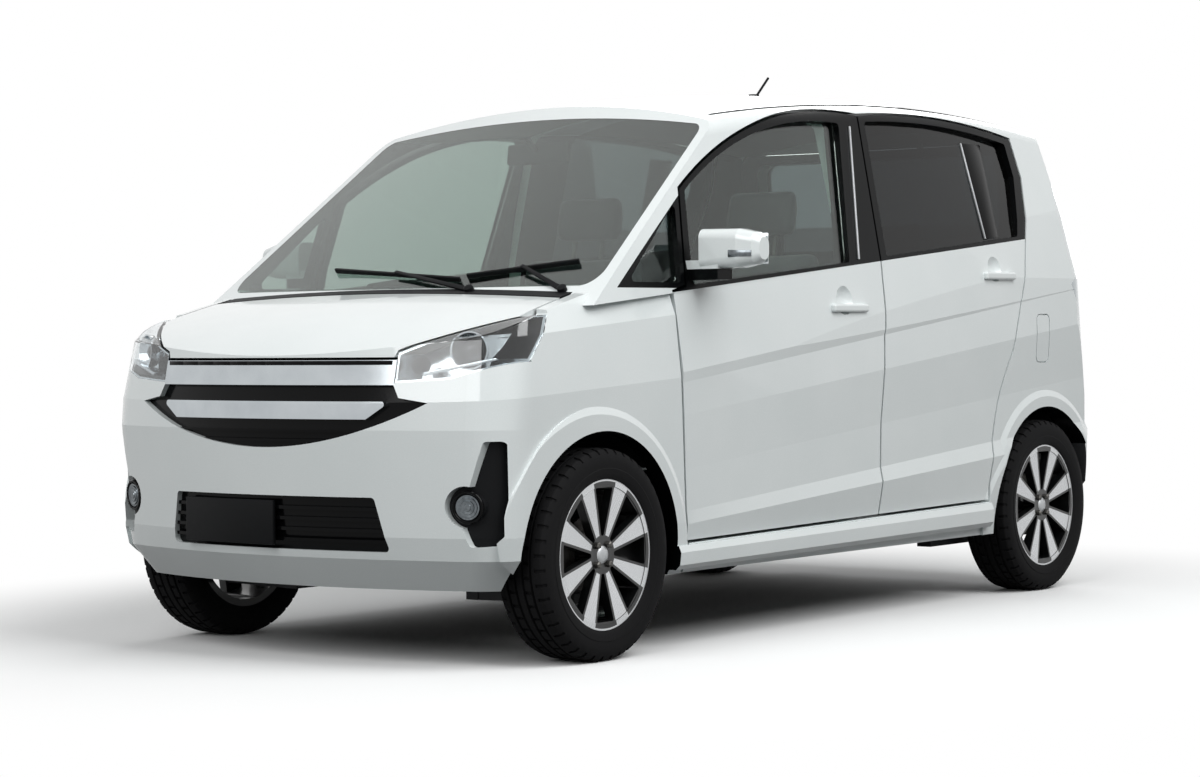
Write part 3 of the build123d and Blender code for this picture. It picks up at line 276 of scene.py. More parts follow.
def pane(name, tint, passed, index):
    """Smooth tinted glass that lets the studio light through."""
    material, tree = new_material(name)
    glass = add_node(
        tree, "ShaderNodeBsdfPrincipled",
        {"Base Color": linear(tint), "Roughness": 0.0, "IOR": index, "Transmission Weight": 1.0})
    clear = add_node(tree, "ShaderNodeBsdfTransparent", {"Color": linear(passed)})
    path = add_node(tree, "ShaderNodeLightPath")
    mixed = add_node(
        tree, "ShaderNodeMixShader",
        {0: path.outputs["Is Shadow Ray"], 1: glass.outputs["BSDF"], 2: clear.outputs["BSDF"]})
    add_node(tree, "ShaderNodeOutputMaterial", {"Surface": mixed.outputs[0]})
    return material


screen_glass = pane("laminated_windscreen_glass", "#a3b3ac", "#a9bab2", STRONG)
window_glass = pane("green_tint_float_glass", "#c0cec8", "#c0cec8", PLAIN)
privacy_glass = pane("dark_privacy_glass", "#2e3335", "#2e3335", FAINT)
lens_clear = pane("clear_polycarbonate_lens", "#f2f5f6", "#f2f5f6", PLAIN)
print("panes", [m.name for m in (screen_glass, window_glass, privacy_glass, lens_clear)])

# %% [markdown]
# ### Plastics, metals, rubber and cloth
# The rest are moulded, plated, cast or woven. Each has two near shades, a grain of its real size and a
# relief as shallow as its surface. The comment over each says how it was made and what the eye gets.

# %% Plastics and lenses
# moulded with a leather grain: a dull black that breaks up every highlight
black_plastic = grained(
    "grained_black_polypropylene", "#0c0d0e", "#161719", 2.0, 0.55, bump=0.25, gloss=DARK_GLOSS)
# moulded in a polished tool: a deep black with soft reflections
gloss_black = grained("gloss_black_abs", "#040405", "#090a0b", 8.0, 0.16, bump=0.02, gloss=DARK_GLOSS)
# soft skin over foam: a fine dark grain without reflections
dash_plastic = grained("soft_grained_dash", "#1a1b1d", "#26272a", 2.2, 0.6, bump=0.25)
# pressed with ribs over a reflector: light and dark grey side by side
fog_glass = grained("ribbed_lamp_glass", "#43484b", "#878d91", 9, 0.15, bump=0.1, metallic=1.0)
# moulded with small prisms: a deep red with brighter spots
lens_red = grained("red_acrylic_lens", "#6d0a10", "#a3141c", 9.0, 0.12, bump=0.2, coat=1.0)
# coated glass over a dark display: black with clear reflections
screen_black = grained("dark_display_glass", "#040506", "#08090b", 40, 0.1, bump=0.0)
print("plastics and lenses done, materials", len(bpy.data.materials))

# %% Metals, rubber and cloth
# plated and brushed to a satin: it mirrors the room without sharp edges
chrome = grained("satin_chrome_plated_abs", "#a7adb1", "#c3c8cb", 90, 0.16, bump=0.01, metallic=1.0)
# sprayed with metal flakes: an even soft silver. On the strips along the window frames it paints highlights
silver_cap_and_highlight = grained("silver_cap_and_painted_highlight", "#b3b6b8", "#c9cbcd", 4, 0.35, bump=0.03, metallic=0.6)
# dipped and baked: a thick dark coat with a dull shine
coated_steel = grained("coated_chassis_steel", "#1c1d1f", "#2a2b2d", 5.0, 0.6, bump=0.15, metallic=0.2)
# cast and then turned: a grainy dark grey
brake_iron = grained("brake_cast_iron", "#4b4a48", "#63615e", 4.0, 0.45, bump=0.1, metallic=1.0)
# rolled and tarnished by heat: a brownish grey in patches
bare_steel = grained("exhaust_steel", "#5e5c58", "#7a7772", 12, 0.42, bump=0.06, metallic=1.0)
# sprayed with thick sealer: rough and nearly black
sealed_floor = grained("sealed_underbody", "#191a1b", "#262728", 6.0, 0.8, bump=0.25)
# vulcanised in a blasted mould: black and dull
tyre_rubber = grained("tyre_rubber", "#0f0f10", "#19191a", 3.0, 0.75, bump=0.2, gloss=DARK_GLOSS)
# woven from thick yarn: dark flecks with a faint sheen
seat_cloth = grained("woven_seat_cloth", "#26282c", "#3d4046", 2.5, 0.85, bump=0.4, sheen=0.4)
# painted sheet: an even satin black
plate_black = grained("satin_black_plate", "#070809", "#0e0f11", 15, 0.5, bump=0.02, gloss=DARK_GLOSS)
# enamelled sheet: a plain white with a slight shine
plate_white = grained("enamelled_plate", "#dcddd9", "#e8e8e4", 20, 0.4, bump=0.03)
print("metals, rubber and cloth done, materials", len(bpy.data.materials))

# %% [markdown]
# ### Lamp tubs
# A headlamp's tub is moulded in black, and its back is coated with metal under vacuum. The mask reads the
# surface's direction: walls that face up or down stay black, and what faces the lens is bright.

# %% Lamp tubs
FLUTE_MM = 22
WALL_FACING = 0.55
lamp_tub, tree = new_material("vacuum_metallised_lamp_tub")
coords = add_node(tree, "ShaderNodeTexCoord")
flutes = add_node(
    tree, "ShaderNodeTexNoise",
    {"Vector": coords.outputs["Object"], "Scale": 1 / (FLUTE_MM * MM), "Detail": 1})
relief = add_node(
    tree, "ShaderNodeBump", {"Height": flutes.outputs["Fac"], "Strength": 0.25, "Distance": 4 * MM})
bright = add_node(
    tree, "ShaderNodeBsdfPrincipled",
    {"Base Color": linear("#b4babd"), "Metallic": 1.0, "Roughness": 0.18,
     "Normal": relief.outputs["Normal"]})
dark = add_node(
    tree, "ShaderNodeBsdfPrincipled",
    {"Base Color": linear("#07080a"), "Roughness": 0.3, "Specular IOR Level": DARK_GLOSS,
     "Normal": relief.outputs["Normal"]})
facing = add_node(tree, "ShaderNodeSeparateXYZ", {"Vector": coords.outputs["Normal"]})
level = add_node(tree, "ShaderNodeMath", {0: facing.outputs["Z"]}, operation="ABSOLUTE")
wall = add_node(tree, "ShaderNodeMath", {0: level.outputs[0], 1: WALL_FACING}, operation="GREATER_THAN")
mixed = add_node(
    tree, "ShaderNodeMixShader", {0: wall.outputs[0], 1: bright.outputs["BSDF"], 2: dark.outputs["BSDF"]})
add_node(tree, "ShaderNodeOutputMaterial", {"Surface": mixed.outputs[0]})
print(lamp_tub.name, "flutes", FLUTE_MM, "mm")

# %% [markdown]
# ### Tail lamp lens
# The lens is moulded in two shots, with small prisms. It is red towards the back, and where it wraps round
# the corner, it is clear over a bright reflector.

# %% Tail lamp lens
CLEAR_BEYOND_X = 0.704
PRISM_MM = 8
tail_lens, tree = new_material("two_shot_tail_lens")
place = add_node(tree, "ShaderNodeTexCoord").outputs["Object"]
prisms = add_node(tree, "ShaderNodeTexVoronoi", {"Vector": place, "Scale": 1 / (PRISM_MM * MM)})
relief = add_node(
    tree, "ShaderNodeBump", {"Height": prisms.outputs["Distance"], "Strength": 0.2, "Distance": 2 * MM})
split = add_node(tree, "ShaderNodeSeparateXYZ", {"Vector": place})
reach = add_node(tree, "ShaderNodeMath", {0: split.outputs["X"]}, operation="ABSOLUTE")
clear = add_node(
    tree, "ShaderNodeMath", {0: reach.outputs[0], 1: CLEAR_BEYOND_X}, operation="GREATER_THAN")
shade = add_node(
    tree, "ShaderNodeMix", {0: clear.outputs[0], 6: linear("#8a0b12"), 7: linear("#a9b0b3")},
    data_type="RGBA")
metal = add_node(tree, "ShaderNodeMapRange", {"Value": clear.outputs[0], "To Max": 0.7})
lens = add_node(
    tree, "ShaderNodeBsdfPrincipled",
    {"Base Color": shade.outputs[2], "Metallic": metal.outputs["Result"], "Roughness": 0.2,
     "Coat Weight": 1.0, "Coat Roughness": 0.03, "Normal": relief.outputs["Normal"]})
add_node(tree, "ShaderNodeOutputMaterial", {"Surface": lens.outputs["BSDF"]})
print(tail_lens.name, "prisms", PRISM_MM, "mm")

# %% [markdown]
# ### Machined alloy wheels
# The wheel is cast, painted black all over, and then its outer face is cut on a lathe. So bright metal
# shows only where the surface faces straight out, on the spokes and the rim's lip, with fine rings about
# the axle. Real tool marks are near 0.3 mm apart; here they are 3 mm, so that they show. Paint stays on
# the hub round its cap and on the webs between the spokes.

# %% Machined alloy wheels
HALF_TRACK = {"front": 0.650, "rear": 0.645}
HUB_PAINT_RADIUS = 0.052
SPOKES = 8
SPOKE_HALF_DEG = 8.2
LIP_RADIUS = 0.194
TOOL_MARK_MM = 3.0
CUT_FACING = 0.9


def machined(name, axle_y):
    """Black paint with a lathe-cut face, centred on one axle."""
    material, tree = new_material(name)
    coords = add_node(tree, "ShaderNodeTexCoord")
    flat, reach = from_axle(tree, coords.outputs["Object"], axle_y)
    phase = add_node(
        tree, "ShaderNodeMath", {0: reach, 1: 2 * pi / (TOOL_MARK_MM * MM)}, operation="MULTIPLY")
    rings = add_node(tree, "ShaderNodeMath", {0: phase.outputs[0]}, operation="SINE").outputs[0]
    relief = add_node(
        tree, "ShaderNodeBump", {"Height": rings, "Strength": 0.08, "Distance": 0.5 * MM})
    rough = add_node(
        tree, "ShaderNodeMapRange", {"Value": rings, "From Min": -1.0, "To Min": 0.24, "To Max": 0.32})
    bright = add_node(
        tree, "ShaderNodeBsdfPrincipled",
        {"Base Color": linear("#dfe1e3"), "Metallic": 0.55, "Roughness": rough.outputs["Result"],
         "Normal": relief.outputs["Normal"]})
    paint = add_node(
        tree, "ShaderNodeBsdfPrincipled",
        {"Base Color": linear("#0a0b0c"), "Roughness": 0.3, "Coat Weight": 0.5,
         "Normal": relief.outputs["Normal"]})
    facing = add_node(tree, "ShaderNodeSeparateXYZ", {"Vector": coords.outputs["Normal"]})
    split = add_node(tree, "ShaderNodeSeparateXYZ", {"Vector": coords.outputs["Object"]})
    side = add_node(tree, "ShaderNodeMath", {0: split.outputs["X"]}, operation="SIGN")
    outward = add_node(
        tree, "ShaderNodeMath", {0: side.outputs[0], 1: facing.outputs["X"]}, operation="MULTIPLY")
    cut = add_node(
        tree, "ShaderNodeMath", {0: outward.outputs[0], 1: CUT_FACING}, operation="GREATER_THAN")
    off_hub = add_node(tree, "ShaderNodeMath", {0: reach, 1: HUB_PAINT_RADIUS}, operation="GREATER_THAN")
    round_axle = add_node(tree, "ShaderNodeSeparateXYZ", {"Vector": flat})
    angle = add_node(
        tree, "ShaderNodeMath", {0: round_axle.outputs["Z"], 1: round_axle.outputs["Y"]},
        operation="ARCTAN2")
    turns = add_node(tree, "ShaderNodeMath", {0: angle.outputs[0], 1: SPOKES}, operation="MULTIPLY")
    wave = add_node(tree, "ShaderNodeMath", {0: turns.outputs[0]}, operation="COSINE")
    spoke = add_node(
        tree, "ShaderNodeMath", {0: wave.outputs[0], 1: -cos(radians(SPOKES * SPOKE_HALF_DEG))},
        operation="LESS_THAN")
    lip = add_node(tree, "ShaderNodeMath", {0: reach, 1: LIP_RADIUS}, operation="GREATER_THAN")
    mask = add_node(tree, "ShaderNodeMath", {0: spoke.outputs[0], 1: lip.outputs[0]}, operation="MAXIMUM")
    for needed in (cut, off_hub):
        mask = add_node(
            tree, "ShaderNodeMath", {0: needed.outputs[0], 1: mask.outputs[0]}, operation="MULTIPLY")
    mixed = add_node(
        tree, "ShaderNodeMixShader",
        {0: mask.outputs[0], 1: paint.outputs["BSDF"], 2: bright.outputs["BSDF"]})
    add_node(tree, "ShaderNodeOutputMaterial", {"Surface": mixed.outputs[0]})
    return material


front_alloy = machined("machined_alloy_front", AXLE_Y["front"])
rear_alloy = machined("machined_alloy_rear", AXLE_Y["rear"])
print("alloys", front_alloy.name, rear_alloy.name, "spokes", SPOKES)

# %% [markdown]
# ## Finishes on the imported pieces
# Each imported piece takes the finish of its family: the longest name here that starts its own.

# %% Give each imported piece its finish
FINISHES = {
    "roof_panel": roof_paint, "hood": hood_paint, "tailgate": tail_paint, "rear_bumper": tail_paint,
    "front_bumper": nose_paint, "body_side": side_paint, "front_fender": side_paint,
    "front_door": door_paint, "rear_door": door_paint, "door_mirror": mirror_paint,
    "windscreen": screen_glass, "quarter_glass": window_glass, "front_door_glass": window_glass,
    "rear_door_glass": privacy_glass, "tailgate_glass": privacy_glass, "headlamps": lens_clear,
    "headlamp_housings": lamp_tub, "tail_lamps": tail_lens, "cowl_panel": black_plastic,
    "fog_lamps": black_plastic, "front_liners": black_plastic, "rear_wheelhouses": black_plastic,
    "antenna": black_plastic, "grille_mesh": gloss_black, "grille_bars": chrome, "dashboard": dash_plastic,
    "steering_wheel": dash_plastic, "front_seats": seat_cloth, "rear_seat": seat_cloth,
    "tyre": tyre_rubber, "wheel_front": front_alloy, "wheel_rear": rear_alloy, "engine": coated_steel,
    "knuckle": coated_steel, "front_suspension": coated_steel, "rear_axle": coated_steel,
    "exhaust": bare_steel, "fuel_tank": black_plastic, "floor_pan": sealed_floor,
}
for name, piece in nodes.items():
    family = max((f for f in FINISHES if name.startswith(f)), key=len)
    piece.data.materials.clear()
    piece.data.materials.append(FINISHES[family])
print("finished", len(nodes), "nodes")

# %% [markdown]
# ## Trim
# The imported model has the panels, glass, lamps and cabin. What follows is the trim that a maker adds last.
# A plate, a bar and a turned ring make nearly all of it, so there is one helper for each, and one that
# finds where a straight line meets a packed panel, so that a piece sits on what carries it.

# %% Shape helpers
SMOOTH_LIMIT = radians(32)
MERGE_WITHIN = 1e-6
BAR_ROUNDING = 0.22
bpy.context.view_layer.update()


def settle(shape, name, body, finish):
    """Close and smooth a bmesh, make it a piece, and let it ride on a body."""
    bmesh.ops.remove_doubles(shape, verts=shape.verts, dist=MERGE_WITHIN)
    bmesh.ops.recalc_face_normals(shape, faces=shape.faces)
    for face in shape.faces:
        face.smooth = True
    for edge in shape.edges:
        edge.smooth = len(edge.link_faces) == 2 and edge.calc_face_angle() < SMOOTH_LIMIT
    mesh = bpy.data.meshes.new(name)
    shape.to_mesh(mesh)
    shape.free()
    mesh.materials.append(finish)
    piece = bpy.data.objects.new(name, mesh)
    scene.collection.objects.link(piece)
    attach(piece, body)
    return piece


def rounded(shape, edge):
    """Round every edge by so many millimetres."""
    bmesh.ops.recalc_face_normals(shape, faces=shape.faces)
    bmesh.ops.bevel(
        shape, geom=shape.edges[:], offset=edge * MM, offset_type="OFFSET", segments=2, profile=0.5,
        affect="EDGES", material=-1)


def pushed(shape, faces):
    """Extrude faces in place, and return the points that are free to move."""
    made = bmesh.ops.extrude_face_region(shape, geom=faces)["geom"]
    return [v for v in made if isinstance(v, bmesh.types.BMVert)]


def slab(outline, thick, edge):
    """A plate drawn flat in X and Y in millimetres, thick along Z, with rounded edges."""
    shape = bmesh.new()
    face = shape.faces.new([shape.verts.new((x * MM, y * MM, 0)) for x, y in outline])
    bmesh.ops.translate(shape, verts=pushed(shape, [face]), vec=(0, 0, thick * MM))
    rounded(shape, edge)
    return shape


def block(wide, tall):
    """A rectangle's corners about its middle."""
    return ((-wide / 2, -tall / 2), (wide / 2, -tall / 2), (wide / 2, tall / 2), (-wide / 2, tall / 2))


def stand(shape, place, facing, up=(0, 0, 1)):
    """Turn a shape so that its Z looks along a direction and its Y goes up, and put it at a place in mm."""
    outward = Vector(facing).normalized()
    across = Vector(up).cross(outward).normalized()
    turn = Matrix((across, outward.cross(across), outward)).transposed().to_4x4()
    bmesh.ops.transform(shape, matrix=Matrix.Translation(Vector(place) * MM) @ turn, verts=shape.verts)
    return shape


def bar(start, end, up, wide, thick, taper=1.0):
    """A straight bar between two points in millimetres, with its thickness along up."""
    start, end = Vector(start), Vector(end)
    shape = bmesh.new()
    bmesh.ops.create_cube(shape, size=MM)
    bmesh.ops.scale(shape, vec=((end - start).length, wide, thick), verts=shape.verts)
    bmesh.ops.scale(shape, vec=(1, taper, taper), verts=[v for v in shape.verts if v.co.x > 0])
    rounded(shape, min(wide, thick) * taper * BAR_ROUNDING)
    along = (end - start).normalized()
    across = Vector(up).cross(along).normalized()
    turn = Matrix((along, across, along.cross(across))).transposed().to_4x4()
    bmesh.ops.transform(shape, matrix=Matrix.Translation((start + end) / 2 * MM) @ turn, verts=shape.verts)
    return shape


def turned(profile, steps=48, sweep=2 * pi):
    """An outline of (height, radius) points in millimetres, spun about Z. One off the axis is closed."""
    shape = bmesh.new()
    rim = [shape.verts.new((radius * MM, 0, height * MM)) for height, radius in profile]
    ends = [] if profile[0][1] == 0 else rim[:1]
    edges = [shape.edges.new(pair) for pair in zip(rim, rim[1:] + ends)]
    bmesh.ops.spin(
        shape, geom=rim + edges, cent=(0, 0, 0), axis=(0, 0, 1), angle=sweep, steps=steps,
        use_merge=sweep == 2 * pi)
    bmesh.ops.remove_doubles(shape, verts=shape.verts, dist=MERGE_WITHIN)
    bmesh.ops.holes_fill(shape, edges=shape.edges)
    return shape


def joined(shapes):
    """Several bmeshes as one."""
    whole = bmesh.new()
    for shape in shapes:
        carrier = bpy.data.meshes.new("carrier")
        shape.to_mesh(carrier)
        shape.free()
        whole.from_mesh(carrier)
        bpy.data.meshes.remove(carrier)
    return whole


def on_side(point, sign):
    """A point or direction of the left side, or its mirror image on the right."""
    return (sign * point[0], *point[1:])


def touch(node, start, toward, off=0.0):
    """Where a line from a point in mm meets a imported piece, moved off it, and the direction there."""
    hit, place, facing, _ = nodes[node].ray_cast(Vector(start) * MM, Vector(toward))
    assert hit, (node, start)
    return place / MM + facing * off, facing


# where a line starts that looks for a panel, in millimetres: outside the car, or in its cabin
AHEAD, BEHIND, BESIDE, ABOVE = -2200, 2400, 1500, 2400
CABIN_X, CABIN_Y = 300, 500
print("edges stay sharp above", round(SMOOTH_LIMIT, 2), "rad")

# %% [markdown]
# ## Tyres
# A road tyre is a moulded ring: a bulged side wall with a rib that guards the rim, a flat crown with four
# grooves around it, and cross slots that leave blocks at the shoulders. The section is spun about the
# axle, and then single faces of the crown are pushed in to make the slots.

# %% Tyres
# half width and radius from the bead to the crown, then the inside back to the bead
TYRE_WALL = (
    (74, 199), (78, 206), (80, 214), (82, 227), (80.8, 229), (82.5, 246), (79, 266), (70, 277), (52, 281))
TYRE_INSIDE = ((66, 264), (76, 246), (74, 214), (68, 199))
GROOVES_AT = (40, 13)
GROOVE_HALF, GROOVE_DEEP, GROOVE_LEAN = 4, 7, 1
TREAD_RADIUS = 281
PITCHES, PITCH_STEPS = 45, 4
STEPS = PITCH_STEPS * PITCHES
# slots in the shoulder and the rib: half width from and to, least radius, which step of a pitch
SLOTS = ((52, 79, 270, 0), (17, 36, 279, 2))
SLOT_DEEP = 5
ENDS = tuple((end, side, sign) for end in ("front", "rear") for side, sign in SIDES)


def at_wheel(shape, end, sign):
    """Put a shape that was turned about Z on an axle, with its Z looking out of the car."""
    return stand(shape, (sign * HALF_TRACK[end] / MM, AXLE_Y[end] / MM, AXLE_Z / MM), (sign, 0, 0))


half = list(TYRE_WALL)
for middle in GROOVES_AT:
    low = TREAD_RADIUS - GROOVE_DEEP
    half += [(middle + GROOVE_HALF, TREAD_RADIUS), (middle + GROOVE_HALF - GROOVE_LEAN, low),
             (middle - GROOVE_HALF + GROOVE_LEAN, low), (middle - GROOVE_HALF, TREAD_RADIUS)]
inside = list(TYRE_INSIDE)
far_half, far_inside = ([(-w, r) for w, r in reversed(points)] for points in (half, inside))
section = half + far_half + far_inside + inside
for end, side, sign in ENDS:
    shape = turned(section, STEPS)
    slots = []
    for face in shape.faces:
        middle = face.calc_center_median()
        step = int(atan2(middle.y, middle.x) % (2 * pi) / (2 * pi / STEPS)) % PITCH_STEPS
        height, radius = abs(middle.z) / MM, middle.xy.length / MM
        if any(near < height < far and radius > least and step == cut for near, far, least, cut in SLOTS):
            slots.append(face)
    for vert in pushed(shape, slots):
        vert.co.xy *= 1 - SLOT_DEEP * MM / vert.co.xy.length
    bmesh.ops.delete(shape, geom=[f for f in slots if f.is_valid], context="FACES_ONLY")
    tyre = settle(
        at_wheel(shape, end, sign), f"road_tyre_{end}_{side}", f"wheel_{end}_{side}", tyre_rubber)
    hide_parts(f"tyre_{end}_{side}")
print("tyre faces", len(tyre.data.polygons), "slots", len(slots))

# %% [markdown]
# ## Hub caps, nuts and brakes
# A plain silver cap closes each hub, with four dark nuts around it. Behind the spokes are cast iron discs
# at the front, each in a clamp that hangs on the knuckle, and finned drums at the rear.

# %% Hub caps, nuts and brakes
HUB_CAP = ((68, 0), (67.5, 14), (65, 21), (61.5, 24), (58, 24), (58, 0))
NUT_RING = 36
NUT = ((74, 0), (74, 6), (71, 9.5), (58, 9.5), (58, 0))
DISC = ((-10, 54), (12, 54), (12, 66), (4, 68), (4, 96), (-6, 96), (-6, 68), (-10, 66))
DRUM = (
    (-40, 66), (8, 66), (8, 92), (4, 100), (-6, 102), (-8, 98), (-16, 98), (-18, 102), (-26, 102),
    (-28, 98), (-38, 98), (-40, 94))
CLAMP = ((-38, 50), (-12, 50), (-12, 99), (18, 99), (18, 107), (-38, 107))
CLAMP_SWEEP = radians(64)
for end, side, sign in ENDS:
    wheel = f"wheel_{end}_{side}"
    settle(at_wheel(turned(HUB_CAP), end, sign), f"hub_cap_{end}_{side}", wheel, silver_cap_and_highlight)
    nuts = []
    for quarter in range(4):
        nut = turned(NUT, steps=6)
        turn = Matrix.Rotation(pi / 4 + quarter * pi / 2, 4, "Z") @ Matrix.Translation((NUT_RING * MM, 0, 0))
        bmesh.ops.transform(nut, matrix=turn, verts=nut.verts)
        nuts.append(nut)
    settle(
        at_wheel(joined(nuts), end, sign), f"wheel_nuts_{end}_{side}", wheel, brake_iron)
    brake = turned(DISC if end == "front" else DRUM, steps=64)
    settle(at_wheel(brake, end, sign), f"brake_{end}_{side}", wheel, brake_iron)
for side, sign in SIDES:
    clamp = turned(CLAMP, steps=16, sweep=CLAMP_SWEEP)
    bmesh.ops.rotate(clamp, matrix=Matrix.Rotation(-CLAMP_SWEEP / 2, 3, "Z"), verts=clamp.verts)
    if sign < 0:
        bmesh.ops.rotate(clamp, matrix=Matrix.Rotation(pi, 3, "Z"), verts=clamp.verts)
    settle(
        at_wheel(clamp, "front", sign), f"brake_clamp_{side}", f"knuckle_{side}", coated_steel)

# %% [markdown]
# ## Lamps
# Behind each clear headlamp lens sit a bowl reflector with its own dome, a small turn bowl at the inner end
# and a bright blade below them. A lamp maker moulds these bowls and coats the large one with metal under
# vacuum; the small one stays black. The bowls are spun and tilted towards the lens, which sweeps back at
# the corner of the car.

# %% Headlamp bowls
MAIN_BOWL = (
    (4, 50), (4, 46), (-8, 40), (-30, 26), (-42, 10), (-42, 0), (-48, 0), (-48, 14), (-34, 32), (-10, 48))
MAIN_DOME = ((-4, 0), (-6, 12), (-13, 21), (-24, 26), (-30, 26), (-30, 0))
TURN_BOWL = ((2, 25), (2, 22), (-8, 18), (-20, 8), (-22, 0), (-26, 0), (-24, 12), (-10, 24))
LAMP_STEPS = 40
# name, outline, place on the left side, facing, finish, slot
LAMP_PARTS = (
    ("main_bowl", MAIN_BOWL, (582, -1534, 822), (0.40, -0.9, 0.06), chrome, "chrome_trim"),
    ("main_dome", MAIN_DOME, (582, -1534, 822), (0.40, -0.9, 0.06), screen_black, "gloss_black"),
    ("turn_bowl", TURN_BOWL, (464, -1586, 786), (0.30, -0.95, 0.1), gloss_black, "gloss_black"),
)
BLADE_ENDS = ((478, -1592, 762), (655, -1512, 800))
for side, sign in SIDES:
    for name, outline, place, facing, finish, slot in LAMP_PARTS:
        made = stand(turned(outline, LAMP_STEPS), on_side(place, sign), on_side(facing, sign))
        settle(made, f"headlamp_{name}_{side}", "body", finish)
    start, end = (on_side(point, sign) for point in BLADE_ENDS)
    blade = bar(start, end, (0, 0, 1), wide=26, thick=9, taper=0.7)
    settle(blade, f"headlamp_blade_{side}", "body", chrome)
print("headlamp parts", 2 * len(LAMP_PARTS) + 2)

# %% [markdown]
# ## Fog lamps, tail reflectors and the high stop lamp
# The fog lamp has a ribbed lens in a thin bezel. Red reflectors on the bumper and a stop lamp over the
# rear glass are asked of every road car, so they are here although the picture doesn't show the tail.

# %% Fog lamps, reflectors and stop lamp
# places in the front or rear view, as x and z
FOG_AT = (602, 425)
REFLECTOR_AT = (540, 400)
STOP_LAMP_Z = 1480
FOG_LENS = (
    (7, 0), (6.5, 9), (5, 10), (6, 18), (4, 19), (5, 26), (2.5, 27), (3, 32), (0, 34), (-3, 34), (-3, 0))
FOG_BEZEL = ((-3, 35), (3, 35), (5, 37), (5, 41), (2, 43), (-3, 43))
for side, sign in SIDES:
    place, facing = touch("fog_lamps", (sign * FOG_AT[0], AHEAD, FOG_AT[1]), (0, 1, 0))
    lens = stand(turned(FOG_LENS, LAMP_STEPS), place, facing)
    settle(lens, f"fog_lens_{side}", "body", fog_glass)
    bezel = stand(turned(FOG_BEZEL, LAMP_STEPS), place, facing)
    settle(bezel, f"fog_bezel_{side}", "body", gloss_black)
    start = (sign * REFLECTOR_AT[0], BEHIND, REFLECTOR_AT[1])
    place, facing = touch("rear_bumper", start, (0, -1, 0), off=-4)
    reflector = stand(slab(block(64, 26), 12, 2), place, facing)
    settle(reflector, f"bumper_reflector_{side}", "body", lens_red)
place, facing = touch("tailgate", (0, BEHIND, STOP_LAMP_Z), (0, -1, 0), off=-3)
stop_lamp = stand(slab(block(240, 16), 12, 2), place, facing)
settle(stop_lamp, "high_stop_lamp", "tailgate", lens_red)
print("stop lamp at", [round(v) for v in place])

# %% [markdown]
# ## Grille top strip
# A gloss black strip runs along the top of the upper grille bar, just under the hood's front edge, and
# darkens the line between them.

# %% Grille top strip
GRILLE_STRIP_HALF, GRILLE_STRIP_RUNS, GRILLE_STRIP_Z = 400, 12, 793
GRILLE_STRIP_OFF = 0.5
marks = []
for k in range(GRILLE_STRIP_RUNS + 1):
    x = GRILLE_STRIP_HALF * (2 * k / GRILLE_STRIP_RUNS - 1)
    marks.append(touch("grille_bars", (x, AHEAD, GRILLE_STRIP_Z), (0, 1, 0), GRILLE_STRIP_OFF)[0])
runs = [bar(a, b, (0, -1, 0), wide=11, thick=5) for a, b in zip(marks, marks[1:])]
settle(joined(runs), "grille_top_strip", "body", gloss_black)
print("grille lip", GRILLE_STRIP_RUNS, "runs")

# %% [markdown]
# ## Plates
# The front of the lower opening carries a plain black plate on the car's right, and the tailgate has a
# recess for the rear plate. Both stay blank. The rear one has a raised rim and two bolts, as pressed
# plates have.

# %% Plates
FRONT_PLATE = (347, 118)
FRONT_PLATE_AT, FRONT_PLATE_FACING = (-138.5, -1662, 375), (-0.078, -1, 0)
front_plate = stand(slab(block(*FRONT_PLATE), 12, 3), FRONT_PLATE_AT, FRONT_PLATE_FACING)
settle(front_plate, "front_plate", "body", plate_black)
REAR_PLATE = (330, 165)
REAR_PLATE_AT = (0, 1633, 866)
RIM_WIDE, RIM_HIGH = 6, 1.2
rear_plate = slab(block(*REAR_PLATE), 4, 1.2)
face = max(rear_plate.faces, key=lambda f: f.calc_center_median().z / MM + f.calc_area())
bmesh.ops.inset_region(rear_plate, faces=[face], thickness=RIM_WIDE * MM, depth=-RIM_HIGH * MM)
stand(rear_plate, REAR_PLATE_AT, (0, 1, 0))
settle(rear_plate, "rear_plate", "tailgate", plate_white)
BOLT = ((3, 0), (3, 4), (1.5, 7), (-1, 7), (-1, 0))
bolts = [stand(turned(BOLT, steps=20), (x, 1637, 928), (0, 1, 0)) for x in (-105, 105)]
settle(joined(bolts), "rear_plate_bolts", "tailgate", brake_iron)
grip = stand(slab(block(430, 30), 14, 5), (0, 1640, 985), (0, 1, 0.05))
settle(grip, "tailgate_grip", "tailgate", gloss_black)
print("plates", FRONT_PLATE, REAR_PLATE)

# %% [markdown]
# ## Wipers
# A wiper is a rubber blade held against the glass by a sprung arm that turns on a spindle. The front blades
# lie where the picture shows them, close to the glass, and their arms start at spindles on the cowl. The
# rear one's spindle is on the tailgate.

# %% Wipers
BLADE_OFF, ARM_OFF, LIP_SINK = 9, 20, 6
SPINDLE = ((14, 0), (13, 8), (9, 13), (-6, 14), (-6, 0))
